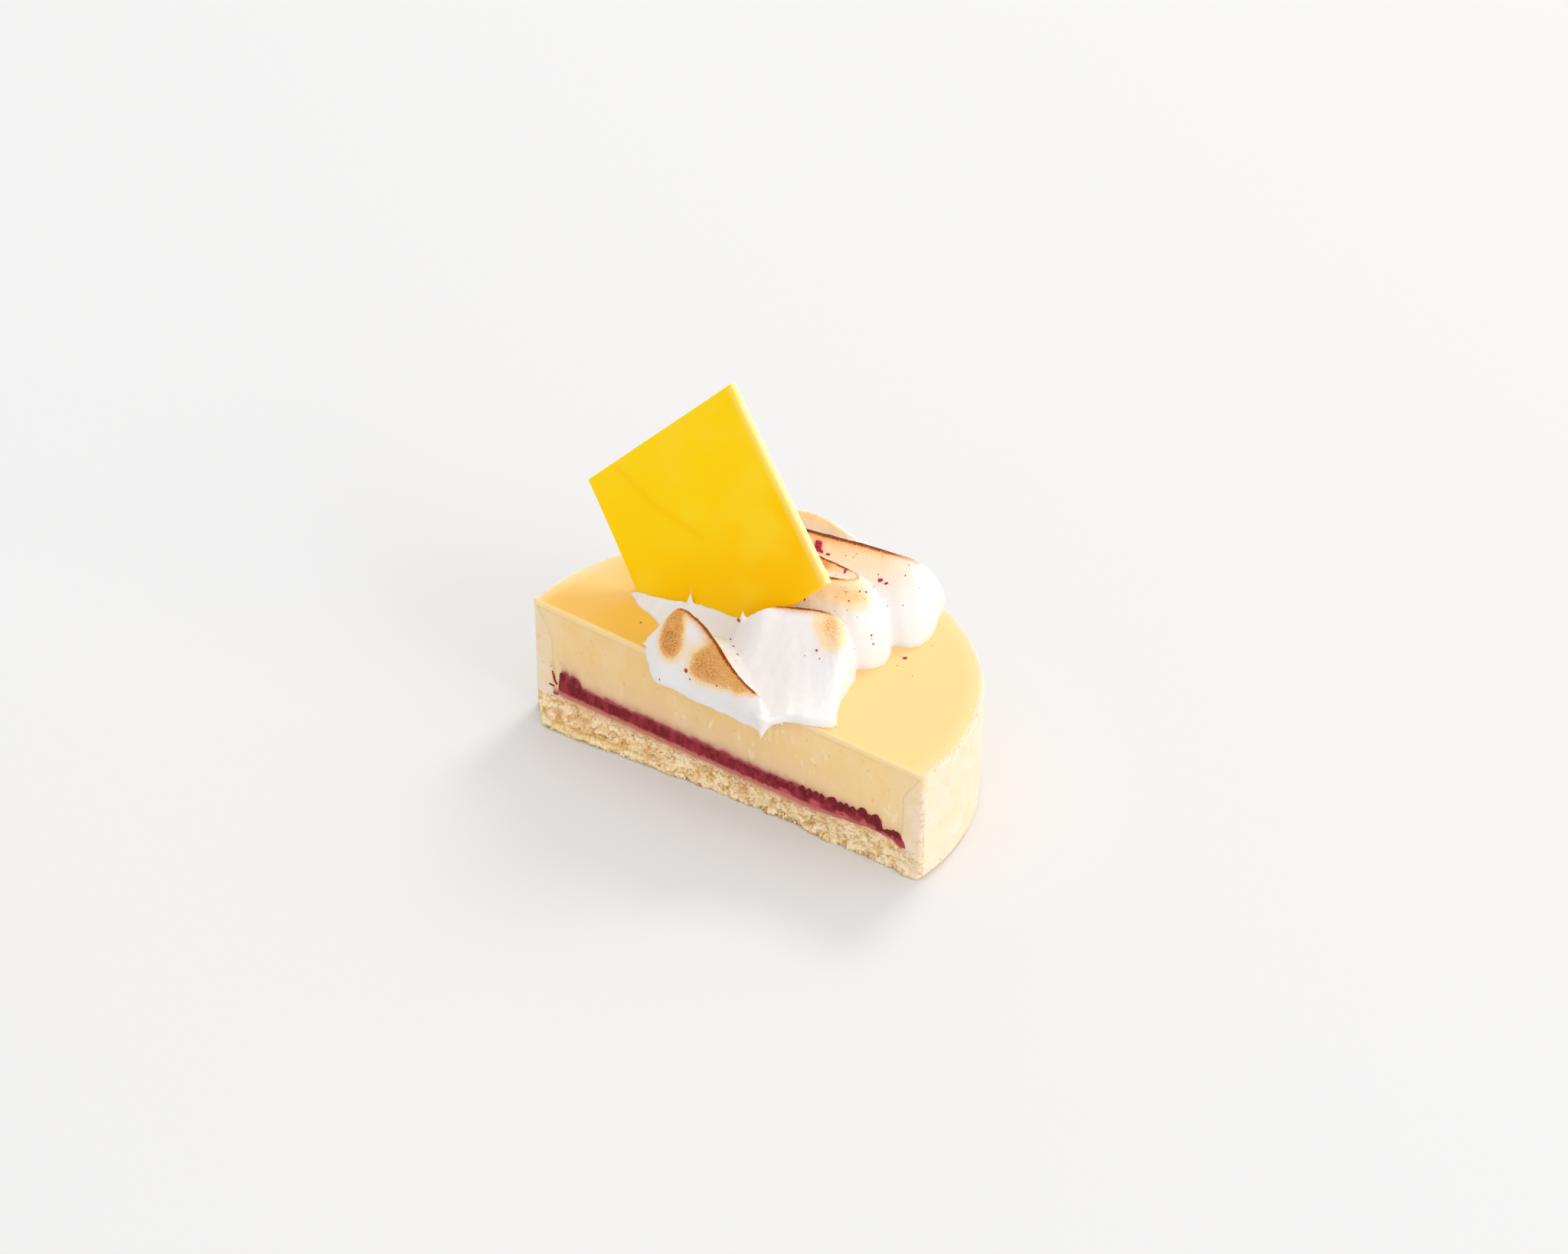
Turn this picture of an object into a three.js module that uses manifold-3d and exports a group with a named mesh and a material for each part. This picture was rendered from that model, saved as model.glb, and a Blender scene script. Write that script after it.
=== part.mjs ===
// Half of a lemon tart on a raspberry layer, topped with piped meringue and a square of yellow chocolate.
// Millimetres, +Z up. The origin is the centre of the tart's ring on its underside, and the cut faces -Y.
import * as THREE from "three";
import { mergeVertices } from "three/addons/utils/BufferGeometryUtils.js";
import Module from "manifold-3d";

const wasm = await Module();
wasm.setup();

// The tart
const ringRadius = 47.5;
const tartHeight = 25.4;
const cutAt = -5.2; // y of the cut, which leaves a little more than half of the ring
const topFall = 0.021; // the top falls this much for each millimetre toward +X
const wallThickness = 4.6;
const wallTop = { thickness: 2.4, height: 5 }; // the wall thins to this over its last few millimetres
const baseThickness = 5.7;
const glazeThickness = 0.9;
const glazeEdge = 0.5; // how far the glaze's edge is rounded
const rimWidth = 1; // pastry left bare around the glaze
const footChamfer = 0.8;
const seam = 0.3; // gap between pieces that touch
const turnedSides = 108;

// The raspberry layer
const berryFloor = baseThickness + seam;
const berryTop = 10;
const berryDepth = 2.4; // how far in from the cut its unevenness goes
const wholeBerry = { from: -41.2, to: -35.2, rise: 1.9, lumps: 2 }; // stands taller at the left end
const berryRow = { from: 12, to: 38, rise: 0.9, bead: 1.45, beadRise: 0.6 }; // beads along the right
const berryTongue = { from: 38.4, top: 8.6 };
const berryMargin = 1.5; // the custard keeps clear of the unevenness this far to each side

// The lip that the knife pushed out of the base at its left end
const lip = { from: -46.6, widest: -42, to: 6, reach: 4.6, height: 1.3, root: 2.8, thinnest: 0.04 };

// The chocolate square, which stands on one corner and leans back
const chocolate = {
  side: 43,
  thickness: 1.8,
  flare: 1.7, // how far the lowest corner lies outside a true square, toward -X
  bevel: 0.25,
  centre: new THREE.Vector3(-18.8, 13.9, 43.75),
  turn: -2.5, // degrees around Z
  lean: 17.5, // degrees back from upright
  spin: 45.6, // degrees in its own plane
};

// How the meringue's underside goes in: under a foot that hangs out, and into the tart elsewhere
const overhang = { tuck: 6, drop: 0.6, sink: 3 };

const petalStations = 22; // along one petal of meringue
const facePoints = 6; // up a petal's front, and down its back

// A closed mesh as a solid.
function solidOf(geometry) {
  const bare = geometry.clone();
  for (const name of ["normal", "uv"]) {
    bare.deleteAttribute(name);
  }
  const merged = mergeVertices(bare, 1e-4);
  const mesh = new wasm.Mesh({
    numProp: 3,
    vertProperties: merged.attributes.position.array,
    triVerts: new Uint32Array(merged.index.array),
  });
  return new wasm.Manifold(mesh);
}

// A solid as a mesh again.
function geometryOf(solid) {
  const { vertProperties, triVerts } = solid.getMesh();
  const geometry = new THREE.BufferGeometry();
  geometry.setAttribute("position", new THREE.BufferAttribute(vertProperties, 3));
  geometry.setIndex(new THREE.BufferAttribute(triVerts, 1));
  geometry.computeVertexNormals();
  return geometry;
}

// A box between two corners.
function block(low, high) {
  const size = high.map((value, i) => value - low[i]);
  const centre = high.map((value, i) => (value + low[i]) / 2);
  return solidOf(new THREE.BoxGeometry(...size).translate(...centre));
}

// The height of a point once the top has fallen: nothing changes in the base, most does at the top.
function settled(x, z) {
  const share = Math.max(0, (z - baseThickness) / (tartHeight - baseThickness));
  return z - topFall * x * share;
}

// A profile of [radius, height] pairs turned around Z, and settled.
function turned(profile) {
  const outline = profile.map(([radius, height]) => new THREE.Vector2(radius, height));
  const geometry = new THREE.LatheGeometry(outline, turnedSides).rotateX(Math.PI / 2);
  const points = geometry.attributes.position;
  for (let i = 0; i < points.count; i++) {
    points.setZ(i, settled(points.getX(i), points.getZ(i)));
  }
  return solidOf(geometry);
}

// Rings of points with equal counts, joined in order and closed at both ends.
function loft(rings) {
  const count = rings[0].length;
  const positions = rings.flat().flatMap((p) => [p.x, p.y, p.z]);
  const faces = [];
  for (let r = 0; r < rings.length - 1; r++) {
    for (let i = 0; i < count; i++) {
      const a = r * count + i;
      const b = r * count + ((i + 1) % count);
      faces.push(a, b, a + count, b, b + count, a + count);
    }
  }
  for (const r of [0, rings.length - 1]) {
    const middle = positions.length / 3;
    const centre = new THREE.Vector3();
    rings[r].forEach((p) => centre.add(p));
    centre.divideScalar(count);
    positions.push(centre.x, centre.y, centre.z);
    for (let i = 0; i < count; i++) {
      const a = r * count + i;
      const b = r * count + ((i + 1) % count);
      faces.push(middle, ...(r === 0 ? [b, a] : [a, b]));
    }
  }
  const geometry = new THREE.BufferGeometry();
  geometry.setAttribute("position", new THREE.Float32BufferAttribute(positions, 3));
  geometry.setIndex(faces);
  return geometry;
}

// What stays behind the cut.
function cut(solid, at = cutAt) {
  const reach = 2 * ringRadius;
  return solid.subtract(block([-reach, -reach, -reach], [reach, at, 2 * reach]));
}

// Height of the raspberry layer along the cut, with or without its beads.
function berryHeight(x, beads) {
  const single = (x - wholeBerry.from) / (wholeBerry.to - wholeBerry.from);
  const row = (x - berryRow.from) / (berryRow.to - berryRow.from);
  let height = berryTop;
  if (single > 0 && single < 1) {
    const lump = Math.abs(Math.sin(single * Math.PI * wholeBerry.lumps));
    height += wholeBerry.rise * (beads ? 0.55 + 0.45 * lump : 1);
  }
  if (row > 0) {
    height += berryRow.rise * Math.min(row, 1);
    height += berryRow.beadRise * (beads ? Math.abs(Math.sin((x * Math.PI) / berryRow.bead)) : 1);
  }
  return x > berryTongue.from ? berryTongue.top : height;
}

// A half disc between a floor and a height that changes along the cut, and only near the cut.
function layer(radius, front, floor, heightAt, columns) {
  const half = Math.sqrt(radius ** 2 - front ** 2);
  const rings = [];
  for (let i = 0; i <= columns; i++) {
    const x = -half + (2 * half * i) / columns;
    const back = Math.sqrt(radius ** 2 - x ** 2);
    const ys = [front, cutAt + berryDepth, cutAt + 3 * berryDepth, back];
    const top = ys.map((y, j) => new THREE.Vector3(x, y, heightAt(x, j < 2))).reverse();
    const under = ys.map((y) => new THREE.Vector3(x, y, floor));
    rings.push([...top, ...under]);
  }
  return solidOf(loft(rings));
}

function pastryShell() {
  const inner = ringRadius - wallThickness;
  const ledge = tartHeight - glazeThickness - seam;
  const shell = turned([
    [0, 0],
    [ringRadius - footChamfer, 0],
    [ringRadius, footChamfer],
    [ringRadius, tartHeight - rimWidth / 2],
    [ringRadius - rimWidth / 2, tartHeight],
    [ringRadius - rimWidth, tartHeight - rimWidth / 4],
    [ringRadius - rimWidth, ledge],
    [ringRadius - wallTop.thickness, ledge],
    [inner, tartHeight - wallTop.height],
    [inner, baseThickness],
    [0, baseThickness],
  ]);
  return cut(shell).add(pastryLip());
}

// A wedge in front of the cut: widest near the left corner, and gone before the middle.
function pastryLip() {
  const steps = 18;
  const rings = [];
  for (let i = 0; i <= steps; i++) {
    const x = lip.from + ((lip.to - lip.from) * i) / steps;
    const rise = THREE.MathUtils.smoothstep(x, lip.from - 2, lip.widest);
    const fall = 1 - THREE.MathUtils.smoothstep(x, lip.widest, lip.to + 8);
    const reach = lip.reach * rise * Math.max(fall, lip.thinnest);
    const front = cutAt - reach;
    rings.push([
      new THREE.Vector3(x, cutAt + 1, lip.root),
      new THREE.Vector3(x, cutAt - 0.2 * reach, lip.root),
      new THREE.Vector3(x, front, lip.height),
      new THREE.Vector3(x, front + 0.15 * reach, 0),
      new THREE.Vector3(x, cutAt + 1, 0),
    ]);
  }
  return solidOf(loft(rings));
}

function raspberryLayer() {
  const radius = ringRadius - wallThickness - seam;
  const height = (x, near) => (near ? berryHeight(x, true) : berryTop);
  return layer(radius, cutAt, berryFloor, height, 116);
}

function lemonCustard() {
  const radius = ringRadius - wallThickness - seam;
  const top = tartHeight - glazeThickness - 2 * seam;
  const filling = turned([
    [0, berryTop],
    [radius, berryTop],
    [radius, tartHeight - wallTop.height],
    [ringRadius - wallTop.thickness - 1.5 * seam, top],
    [0, top],
  ]);
  const around = [-berryMargin, 0, berryMargin];
  const tallest = (x) => Math.max(...around.map((step) => berryHeight(x + step, false)));
  const height = (x, near) => (near ? tallest(x) : berryTop) + seam;
  const berries = layer(radius + 1, cutAt - 1, 0, height, 58);
  const floor = block([-ringRadius, -ringRadius, 0], [ringRadius, ringRadius, berryTop + seam]);
  return cut(filling).subtract(berries).subtract(floor);
}

function lemonGlaze() {
  const radius = ringRadius - rimWidth - seam;
  const glaze = turned([
    [0, tartHeight - glazeThickness],
    [radius, tartHeight - glazeThickness],
    [radius, tartHeight - glazeEdge],
    [radius - glazeEdge, tartHeight],
    [0, tartHeight],
  ]);
  return cut(glaze);
}

// The tart as one block, a seam larger than its outside, which the meringue is cut by.
function tartRoom() {
  const radius = ringRadius + seam;
  const height = tartHeight + seam;
  return cut(turned([[0, 0], [radius, 0], [radius, height], [0, height]]), cutAt - seam);
}

// The chocolate square as a slab that is `gap` larger all round.
function chocolateSlab(gap) {
  const half = chocolate.side / 2 + gap;
  const edge = chocolate.bevel;
  const shape = new THREE.Shape();
  shape.moveTo(-half + edge - chocolate.flare, -half + edge); // the lowest corner
  shape.lineTo(half - edge, -half + edge);
  shape.lineTo(half - edge, half - edge);
  shape.lineTo(-half + edge, half - edge);
  const slab = new THREE.ExtrudeGeometry(shape, {
    depth: chocolate.thickness + 2 * gap - 2 * edge,
    bevelSize: edge,
    bevelThickness: edge,
    bevelSegments: 1,
  });
  slab.translate(0, 0, edge - gap - chocolate.thickness);
  slab.rotateZ(THREE.MathUtils.degToRad(chocolate.spin));
  slab.rotateX(THREE.MathUtils.degToRad(90 - chocolate.lean));
  slab.rotateZ(THREE.MathUtils.degToRad(chocolate.turn));
  slab.translate(...chocolate.centre);
  return solidOf(slab);
}

// The corner that is pushed into the tart isn't shown, so the square ends just above the glaze.
function chocolateSquare() {
  return chocolateSlab(0).subtract(tartRoom());
}

// The meringue is one piped wave. Each petal is lofted between three rails: the foot of its front,
// its sharp crest, and the foot of its back. A point is [x, y, height over the top of the tart].
// A hollow is how far a face sags inward; a negative one makes it bulge. lip is the upright edge that
// the front starts with.
const petals = [
  {
    // the low start of the wave, against the chocolate
    front: [[-33.6, 8.3, 0], [-29, 5.9, 0], [-24.8, 4.7, 0], [-20, 2.4, 0], [-14, -0.5, 0], [-8, -2, 0]],
    crest: [[-32.6, 8.8, 0.6], [-28, 8, 1.8], [-23, 8.4, 2.8], [-17.2, 9.2, 3.9], [-10.5, 9.9, 4.7],
      [-3, 10.8, 6.2]],
    back: [[-33, 9.6, 0], [-28, 11, 0], [-22, 12, 0], [-16, 12.5, 0], [-9, 13, 0], [-2, 13.5, 0]],
    frontHollow: 0.3,
    backHollow: 0,
    lip: 0.3,
  },
  {
    // the first petal, which hangs over the cut
    front: [[-19.7, -3.6, -0.4], [-17, -7, -2], [-13.8, -8.8, -3.1], [-8.4, -9.1, -3.1],
      [-2.9, -9.2, -3.3], [2, -9.2, -2.9], [7.8, -9.4, -3.1], [12.6, -9.2, -3.4]],
    crest: [[-18, -2.8, 2.4], [-14.4, -3.6, 9], [-11.4, -3.5, 12.2], [-6.8, -3.9, 11.9],
      [-2, -5.2, 10.3], [3, -7.3, 8.3], [8, -8.6, 6.5], [11.6, -8.6, 5]],
    back: [[-17.5, 0, 0], [-14.5, 3, 0.5], [-10, 5.5, 1.5], [-4, 6, 2],
      [1, 5, 1.6], [6, 2.5, 0.6], [11, -2, -0.5], [15, -5.5, -1]],
    frontHollow: -0.8,
    backHollow: 1.6,
    lip: 1.4,
  },
  {
    // the second petal: one wide hollow face, and a round shoulder
    front: [[-7, 0, 0], [1, -5, 0], [7.5, -8, -1], [13.2, -8.7, -1.8], [17, -6.8, -0.4], [21.2, -5.6, 0],
      [24.8, -2.8, 0], [22.6, 1.4, 0], [20.9, 4.6, 0], [20, 8.5, 0], [18.9, 12, 0], [17.4, 14.8, 0]],
    crest: [[-4, 6.5, 7.5], [0.6, 7.8, 11.4], [2.9, 9.5, 12], [4.8, 10.4, 12.2], [6.6, 11.2, 12.3],
      [8.4, 12.2, 12.3], [10.4, 13.3, 12.1], [12, 14.1, 11.6], [13.2, 14.6, 10.8],
      [14.2, 14.9, 9.6], [15, 15.1, 7.6], [15.6, 15.6, 4.5]],
    back: [[-5, 9.5, 1], [0, 12.5, 4], [2, 14, 5], [4, 15, 5], [6, 16, 5], [8, 17, 5],
      [10, 18, 4], [11, 18.5, 3], [12, 18.5, 3], [13, 18, 2], [14, 18, 1], [14.5, 17.5, 0]],
    frontHollow: [1.2, 2.2, 2.8, 2.8, 2.8, 2.4, 1.2, -0.6, -2, -2.6, -2.2, -1],
    backHollow: 0,
    lip: 2,
  },
  {
    // the third petal, with a round end and a pocket in its top
    front: [[-11.6, 20, 0], [-10.4, 16.8, 0], [-7, 15.4, 0], [-1, 15.5, 0], [6, 15, 0], [12, 14.4, 0],
      [17.2, 15.4, 0], [19.4, 17.4, 0], [20.4, 20.4, 0], [19.2, 23.8, 0], [17, 26.6, 0]],
    crest: [[-12, 22, 5], [-10.6, 22, 12], [-7.6, 22, 16], [-2.5, 22.4, 17], [2.6, 22.9, 16.5],
      [4.8, 23.4, 16], [7.1, 23.9, 15.5], [9.7, 24.5, 14.8], [11.8, 25.2, 13.8],
      [13.4, 25.6, 12.4], [15.2, 26.2, 9.4]],
    back: [[-11.6, 24, 0], [-10.4, 26.4, 2], [-7, 28, 5], [-2, 28.5, 6], [2, 29, 6], [5, 29.3, 6],
      [8, 29.6, 5], [11, 29.8, 4], [13.5, 29.4, 2], [15, 29, 1], [16, 28.4, 0]],
    frontHollow: [-1, -2, -3, -3, -3, -3, -3, -2.4, -1.8, -1.2, -0.8],
    backHollow: -1,
    lip: 1,
  },
  {
    // the fourth petal
    front: [[-16.2, 27.5, 0], [-15, 24.4, 0], [-11, 23, 0], [-5, 23.5, 0], [3, 24.5, 0], [11, 25.2, 0],
      [17, 25.6, 0], [20.5, 27, 0], [22.3, 29.6, 0], [22.4, 33, 0], [21.4, 36.6, 0.4]],
    crest: [[-16.6, 29, 5], [-15.4, 28, 12.4], [-12.6, 27, 16.2], [-8.5, 27.1, 17], [-4.5, 28.1, 17],
      [0, 30, 16.4], [6.8, 32.9, 15.6], [11.7, 34.6, 15], [15.2, 36.3, 14.2],
      [17, 37.9, 12.6], [18.6, 39.4, 9.2]],
    back: [[-16, 31, 0], [-15, 32.6, 1], [-12, 34, 3], [-8, 35, 3], [-4, 37, 3], [1, 39.5, 3],
      [7, 41.5, 2], [12, 43, 1], [15.5, 43.4, 0], [18, 42.8, 0], [19.6, 41.2, 0]],
    frontHollow: [-0.8, -1.2, -1.6, -1.6, -1.6, -1.6, -1.6, -1.6, -1.2, -0.8, -0.6],
    backHollow: -1.5,
    lip: 1,
  },
  {
    // the last fold, behind the fourth
    front: [[-19.4, 31.5, 0], [-17.6, 28.6, 0], [-12.4, 28, 0], [-7, 29.5, 0], [-3, 31, 0],
      [0, 32, 0], [4, 34, 0], [8, 37, 0], [11, 39, 0]],
    crest: [[-19.2, 32, 4], [-17.4, 30.6, 11.5], [-13, 30.2, 16.4], [-7.1, 32, 18], [-2.7, 33.3, 17],
      [0.2, 33.5, 16], [3.1, 33.9, 15.2], [6, 36, 12.5], [9, 38.5, 8]],
    back: [[-19, 33.5, 0], [-17.6, 35.6, 0], [-13, 38.5, 0], [-7, 41, 0], [-3, 42.5, 0],
      [0, 43, 0], [4, 43.6, 0], [8, 43.4, 0], [11, 42, 0]],
    frontHollow: -0.5,
    backHollow: -2,
    lip: 1,
  },
];

// Points drawn out of the meringue: where each starts inside it, its tip, and the radius it starts with.
const tips = [
  { root: [12.4, -8.2, 0.5], tip: [12.3, -9.5, -5.2], radius: 2.2 }, // the drip over the cut
  { root: [-16.5, -3.8, 1.2], tip: [-20.6, -4.2, -0.4], radius: 1.6 },
  { root: [-18.6, 8.6, 2.4], tip: [-18.6, 9.4, 7], radius: 1.1 },
  { root: [21, -3.2, 0.6], tip: [26, -1.9, 0.4], radius: 1.7 },
];

// The pocket in the third petal, an egg shape that is cut out of it.
const pocket = { centre: [3, 21.5, 16.2], radii: [7.6, 1.9, 2.1], turn: 14 };

function rail(points) {
  return new THREE.CatmullRomCurve3(points.map((p) => new THREE.Vector3(...p)), false, "centripetal");
}

// The value at a share of the way along a list that is evenly spread.
function along(values, share) {
  if (!Array.isArray(values)) {
    return values;
  }
  const place = share * (values.length - 1);
  const low = Math.min(Math.floor(place), values.length - 2);
  return THREE.MathUtils.lerp(values[low], values[low + 1], place - low);
}

// Points from a foot up to the crest, with the face hollowed or bulged across its slope.
function face(foot, crest, hollow) {
  const slope = crest.clone().sub(foot);
  const run = Math.hypot(slope.x, slope.y) || 1e-6;
  const inward = new THREE.Vector3((slope.x / run) * slope.z, (slope.y / run) * slope.z, -run);
  inward.normalize();
  const points = [];
  for (let i = 0; i < facePoints; i++) {
    const share = i / facePoints;
    const point = foot.clone().lerp(crest, share);
    points.push(point.addScaledVector(inward, hollow * 4 * share * (1 - share)));
  }
  return points;
}

// Where the underside starts: tucked back under a foot that hangs over the cut, or straight down
// into the tart.
function underside([x, y, height]) {
  return y < cutAt ? [x, y + overhang.tuck, height - overhang.drop] : [x, y, -overhang.sink];
}

function petalSolid(petal) {
  const under = petal.front.map(underside);
  const sunk = petal.back.map(([x, y]) => [x, y, -overhang.sink]);
  const rails = [under, petal.front, petal.crest, petal.back, sunk].map(rail);
  const rings = [];
  for (let i = 0; i <= petalStations; i++) {
    const share = i / petalStations;
    const [low, front, crest, back, deep] = rails.map((line) => {
      const point = line.getPoint(share);
      point.z = settled(point.x, tartHeight + point.z);
      return point;
    });
    const edge = front.clone();
    edge.z += Math.min(petal.lip, 0.5 * (crest.z - front.z));
    const rise = face(edge, crest, along(petal.frontHollow, share));
    const fall = face(back, crest, along(petal.backHollow, share)).reverse();
    rings.push([low, front, ...rise, crest, ...fall, deep].reverse());
  }
  return solidOf(loft(rings));
}

function tipSolid({ root, tip, radius }) {
  const from = new THREE.Vector3(...root);
  const axis = new THREE.Vector3(...tip).sub(from);
  const cone = new THREE.ConeGeometry(radius, axis.length(), 12);
  cone.translate(0, axis.length() / 2, 0);
  const aim = new THREE.Quaternion().setFromUnitVectors(new THREE.Vector3(0, 1, 0), axis.normalize());
  cone.applyQuaternion(aim);
  return solidOf(cone.translate(from.x, from.y, settled(from.x, tartHeight + from.z)));
}

function pocketSolid() {
  const [x, y, height] = pocket.centre;
  const egg = new THREE.SphereGeometry(1, 20, 12).scale(...pocket.radii);
  egg.rotateZ(THREE.MathUtils.degToRad(pocket.turn));
  return solidOf(egg.translate(x, y, settled(x, tartHeight + height)));
}

function meringue() {
  const parts = [...petals.map(petalSolid), ...tips.map(tipSolid)];
  const wave = parts.reduce((all, part) => all.add(part)).subtract(pocketSolid());
  return wave.subtract(tartRoom()).subtract(chocolateSlab(seam));
}

const tart = new THREE.Group();

function place(name, solid, colour, roughness) {
  const material = new THREE.MeshStandardMaterial({ color: colour, roughness, metalness: 0 });
  const mesh = new THREE.Mesh(geometryOf(solid), material);
  mesh.name = name;
  tart.add(mesh);
}

place("pastry_shell", pastryShell(), 0xf0d9a8, 0.85);
place("raspberry_layer", raspberryLayer(), 0x7d1428, 0.4);
place("lemon_custard", lemonCustard(), 0xeccb8c, 0.5);
place("lemon_glaze", lemonGlaze(), 0xf7cf70, 0.08);
place("meringue", meringue(), 0xfaf6f2, 0.6);
place("chocolate_square", chocolateSquare(), 0xfecb10, 0.35);

export default tart;
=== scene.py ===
import itertools
import math
import random

import bmesh
import bpy
import numpy as np
from mathutils import Matrix, Vector, kdtree
from mathutils.bvhtree import BVHTree


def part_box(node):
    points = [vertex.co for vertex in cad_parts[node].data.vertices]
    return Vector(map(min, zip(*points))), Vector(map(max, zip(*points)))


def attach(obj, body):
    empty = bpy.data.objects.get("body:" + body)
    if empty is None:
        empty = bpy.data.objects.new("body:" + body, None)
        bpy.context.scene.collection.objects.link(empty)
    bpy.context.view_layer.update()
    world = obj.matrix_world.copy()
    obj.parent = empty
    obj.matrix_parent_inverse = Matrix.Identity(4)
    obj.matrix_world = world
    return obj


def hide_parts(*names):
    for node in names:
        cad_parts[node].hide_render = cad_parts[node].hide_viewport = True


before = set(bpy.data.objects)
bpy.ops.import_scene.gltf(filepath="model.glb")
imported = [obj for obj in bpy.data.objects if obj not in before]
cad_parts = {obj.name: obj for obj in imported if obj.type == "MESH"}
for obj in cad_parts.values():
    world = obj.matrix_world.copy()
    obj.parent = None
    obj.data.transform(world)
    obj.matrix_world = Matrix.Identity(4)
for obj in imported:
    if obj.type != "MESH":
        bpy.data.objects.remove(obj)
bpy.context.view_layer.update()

mm = 0.001
scene = bpy.context.scene
random.seed(11)


# camera

cameraLook = {
    "azimuth": 35.83,  # degrees round from the cut's own direction, towards +X
    "elevation": 34.21,
    "roll": 0.78,
    "distance": 678.3,  # mm from the plane through the origin that the camera faces
    "right": 9.1,  # mm that the camera is shifted in that plane
    "up": 29.9,
    "lens": 78.86,
    "sensor": 36,
    "sees": (0.01, 20),  # metres, from and to
}


def placeCamera(look):
    azimuth, elevation, roll = (math.radians(look[k]) for k in ("azimuth", "elevation", "roll"))
    back = Vector((math.sin(azimuth) * math.cos(elevation), -math.cos(azimuth) * math.cos(elevation),
                   math.sin(elevation)))
    level = Vector((math.cos(azimuth), math.sin(azimuth), 0))
    upright = back.cross(level)
    right = level * math.cos(roll) + upright * math.sin(roll)
    up = upright * math.cos(roll) - level * math.sin(roll)
    data = bpy.data.cameras.new("camera")
    data.sensor_fit = "HORIZONTAL"
    data.sensor_width = look["sensor"]
    data.lens = look["lens"]
    data.clip_start, data.clip_end = look["sees"]
    camera = bpy.data.objects.new("camera", data)
    scene.collection.objects.link(camera)
    where = (back * look["distance"] + right * look["right"] + up * look["up"]) * mm
    camera.matrix_world = Matrix((
        (right.x, up.x, back.x, where.x),
        (right.y, up.y, back.y, where.y),
        (right.z, up.z, back.z, where.z),
        (0, 0, 0, 1),
    ))
    scene.camera = camera


placeCamera(cameraLook)
print("camera placed")


# materials

def tint(code):  # a colour written as six hex digits, in the light that shaders work in
    parts = [int(code[i:i + 2], 16) / 255 for i in (0, 2, 4)]
    return tuple(p / 12.92 if p <= 0.04045 else ((p + 0.055) / 1.055) ** 2.4 for p in parts) + (1,)


class Wire:  # one output socket; sums on it add Math nodes to its finish
    def __init__(self, finish, socket):
        self.finish = finish
        self.socket = socket

    def math(self, operation, *values):
        return self.finish.add("ShaderNodeMath", {"operation": operation}, dict(enumerate(values)))

    def __add__(self, other):
        return self.math("ADD", self, other)

    def __radd__(self, other):
        return self.math("ADD", other, self)

    def __sub__(self, other):
        return self.math("SUBTRACT", self, other)

    def __rsub__(self, other):
        return self.math("SUBTRACT", other, self)

    def __mul__(self, other):
        return self.math("MULTIPLY", self, other)

    def __rmul__(self, other):
        return self.math("MULTIPLY", other, self)


class Finish:  # a material while it is being made
    def __init__(self, name):
        self.material = bpy.data.materials.new(name)
        self.material.use_nodes = True
        self.tree = self.material.node_tree
        self.tree.nodes.clear()
        place = self.add("ShaderNodeTexCoord", output="Object")
        self.place = self.add("ShaderNodeVectorMath", {"operation": "SCALE"}, {0: place, "Scale": 1 / mm})

    def add(self, kind, settings=None, inputs=None, output=0):  # any node, as one of its outputs
        node = self.tree.nodes.new(kind)
        for name, value in (settings or {}).items():
            setattr(node, name, value)
        for name, value in (inputs or {}).items():
            if isinstance(value, Wire):
                self.tree.links.new(value.socket, node.inputs[name])
            else:
                node.inputs[name].default_value = value
        return None if output is None else Wire(self, node.outputs[output])

    def along(self, axis):  # mm along X, Y or Z
        return self.add("ShaderNodeSeparateXYZ", None, {0: self.place}, axis)

    def noise(self, size, detail=2, roughness=0.5):  # size in mm
        inputs = {"Vector": self.place, "Scale": 1 / size, "Detail": detail, "Roughness": roughness}
        return self.add("ShaderNodeTexNoise", None, inputs)

    def painted(self, *names):  # values that the mesh carries at each point
        return [self.add("ShaderNodeAttribute", {"attribute_name": name}, None, "Fac") for name in names]

    def spread(self, value, low, high):  # value from low to high becomes 0 to 1
        return self.add("ShaderNodeMapRange", {"interpolation_type": "SMOOTHSTEP"},
                        {"Value": value, "From Min": low, "From Max": high})

    def blend(self, share, first, second):
        return self.add("ShaderNodeMix", {"data_type": "RGBA"}, {0: share, 6: first, 7: second}, 2)

    def between(self, share, codes):  # from one tint to another
        return self.blend(share, tint(codes[0]), tint(codes[1]))

    def over(self, colour, *coats):  # tints laid over a colour, each with its share
        for share, code in coats:
            colour = self.blend(share, colour, tint(code))
        return colour

    def bump(self, height, depth, strength=1.0):  # depth in mm
        inputs = {"Height": height, "Distance": depth * mm, "Strength": strength}
        return self.add("ShaderNodeBump", None, inputs)

    def surface(self, **inputs):
        names = {name.replace("_", " "): value for name, value in inputs.items()}
        shader = self.add("ShaderNodeBsdfPrincipled", None, names)
        self.add("ShaderNodeOutputMaterial", None, {"Surface": shader}, None)
        return self.material


# shapes

tart = {  # mm
    "ring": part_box("pastry_shell")[1].x / mm,
    "cut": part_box("lemon_custard")[0].y / mm,
    "height": 25.4,
    "fall": 0.021,  # how much the top falls for each mm towards +X
    "base": 5.7,
    "wall": 4.6,
    "wallTop": 8.0,  # the wall thins to the rim over this height
    "rim": 1.0,
    "glaze": 0.9,
}


def fallAt(x, z):
    return tart["fall"] * x * np.maximum(0, (z - tart["base"]) / (tart["height"] - tart["base"]))


def settled(x, z):
    return z - fallAt(x, z)


def unsettled(x, z):  # the height that settled lowered to z
    return z + fallAt(x, z)


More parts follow.
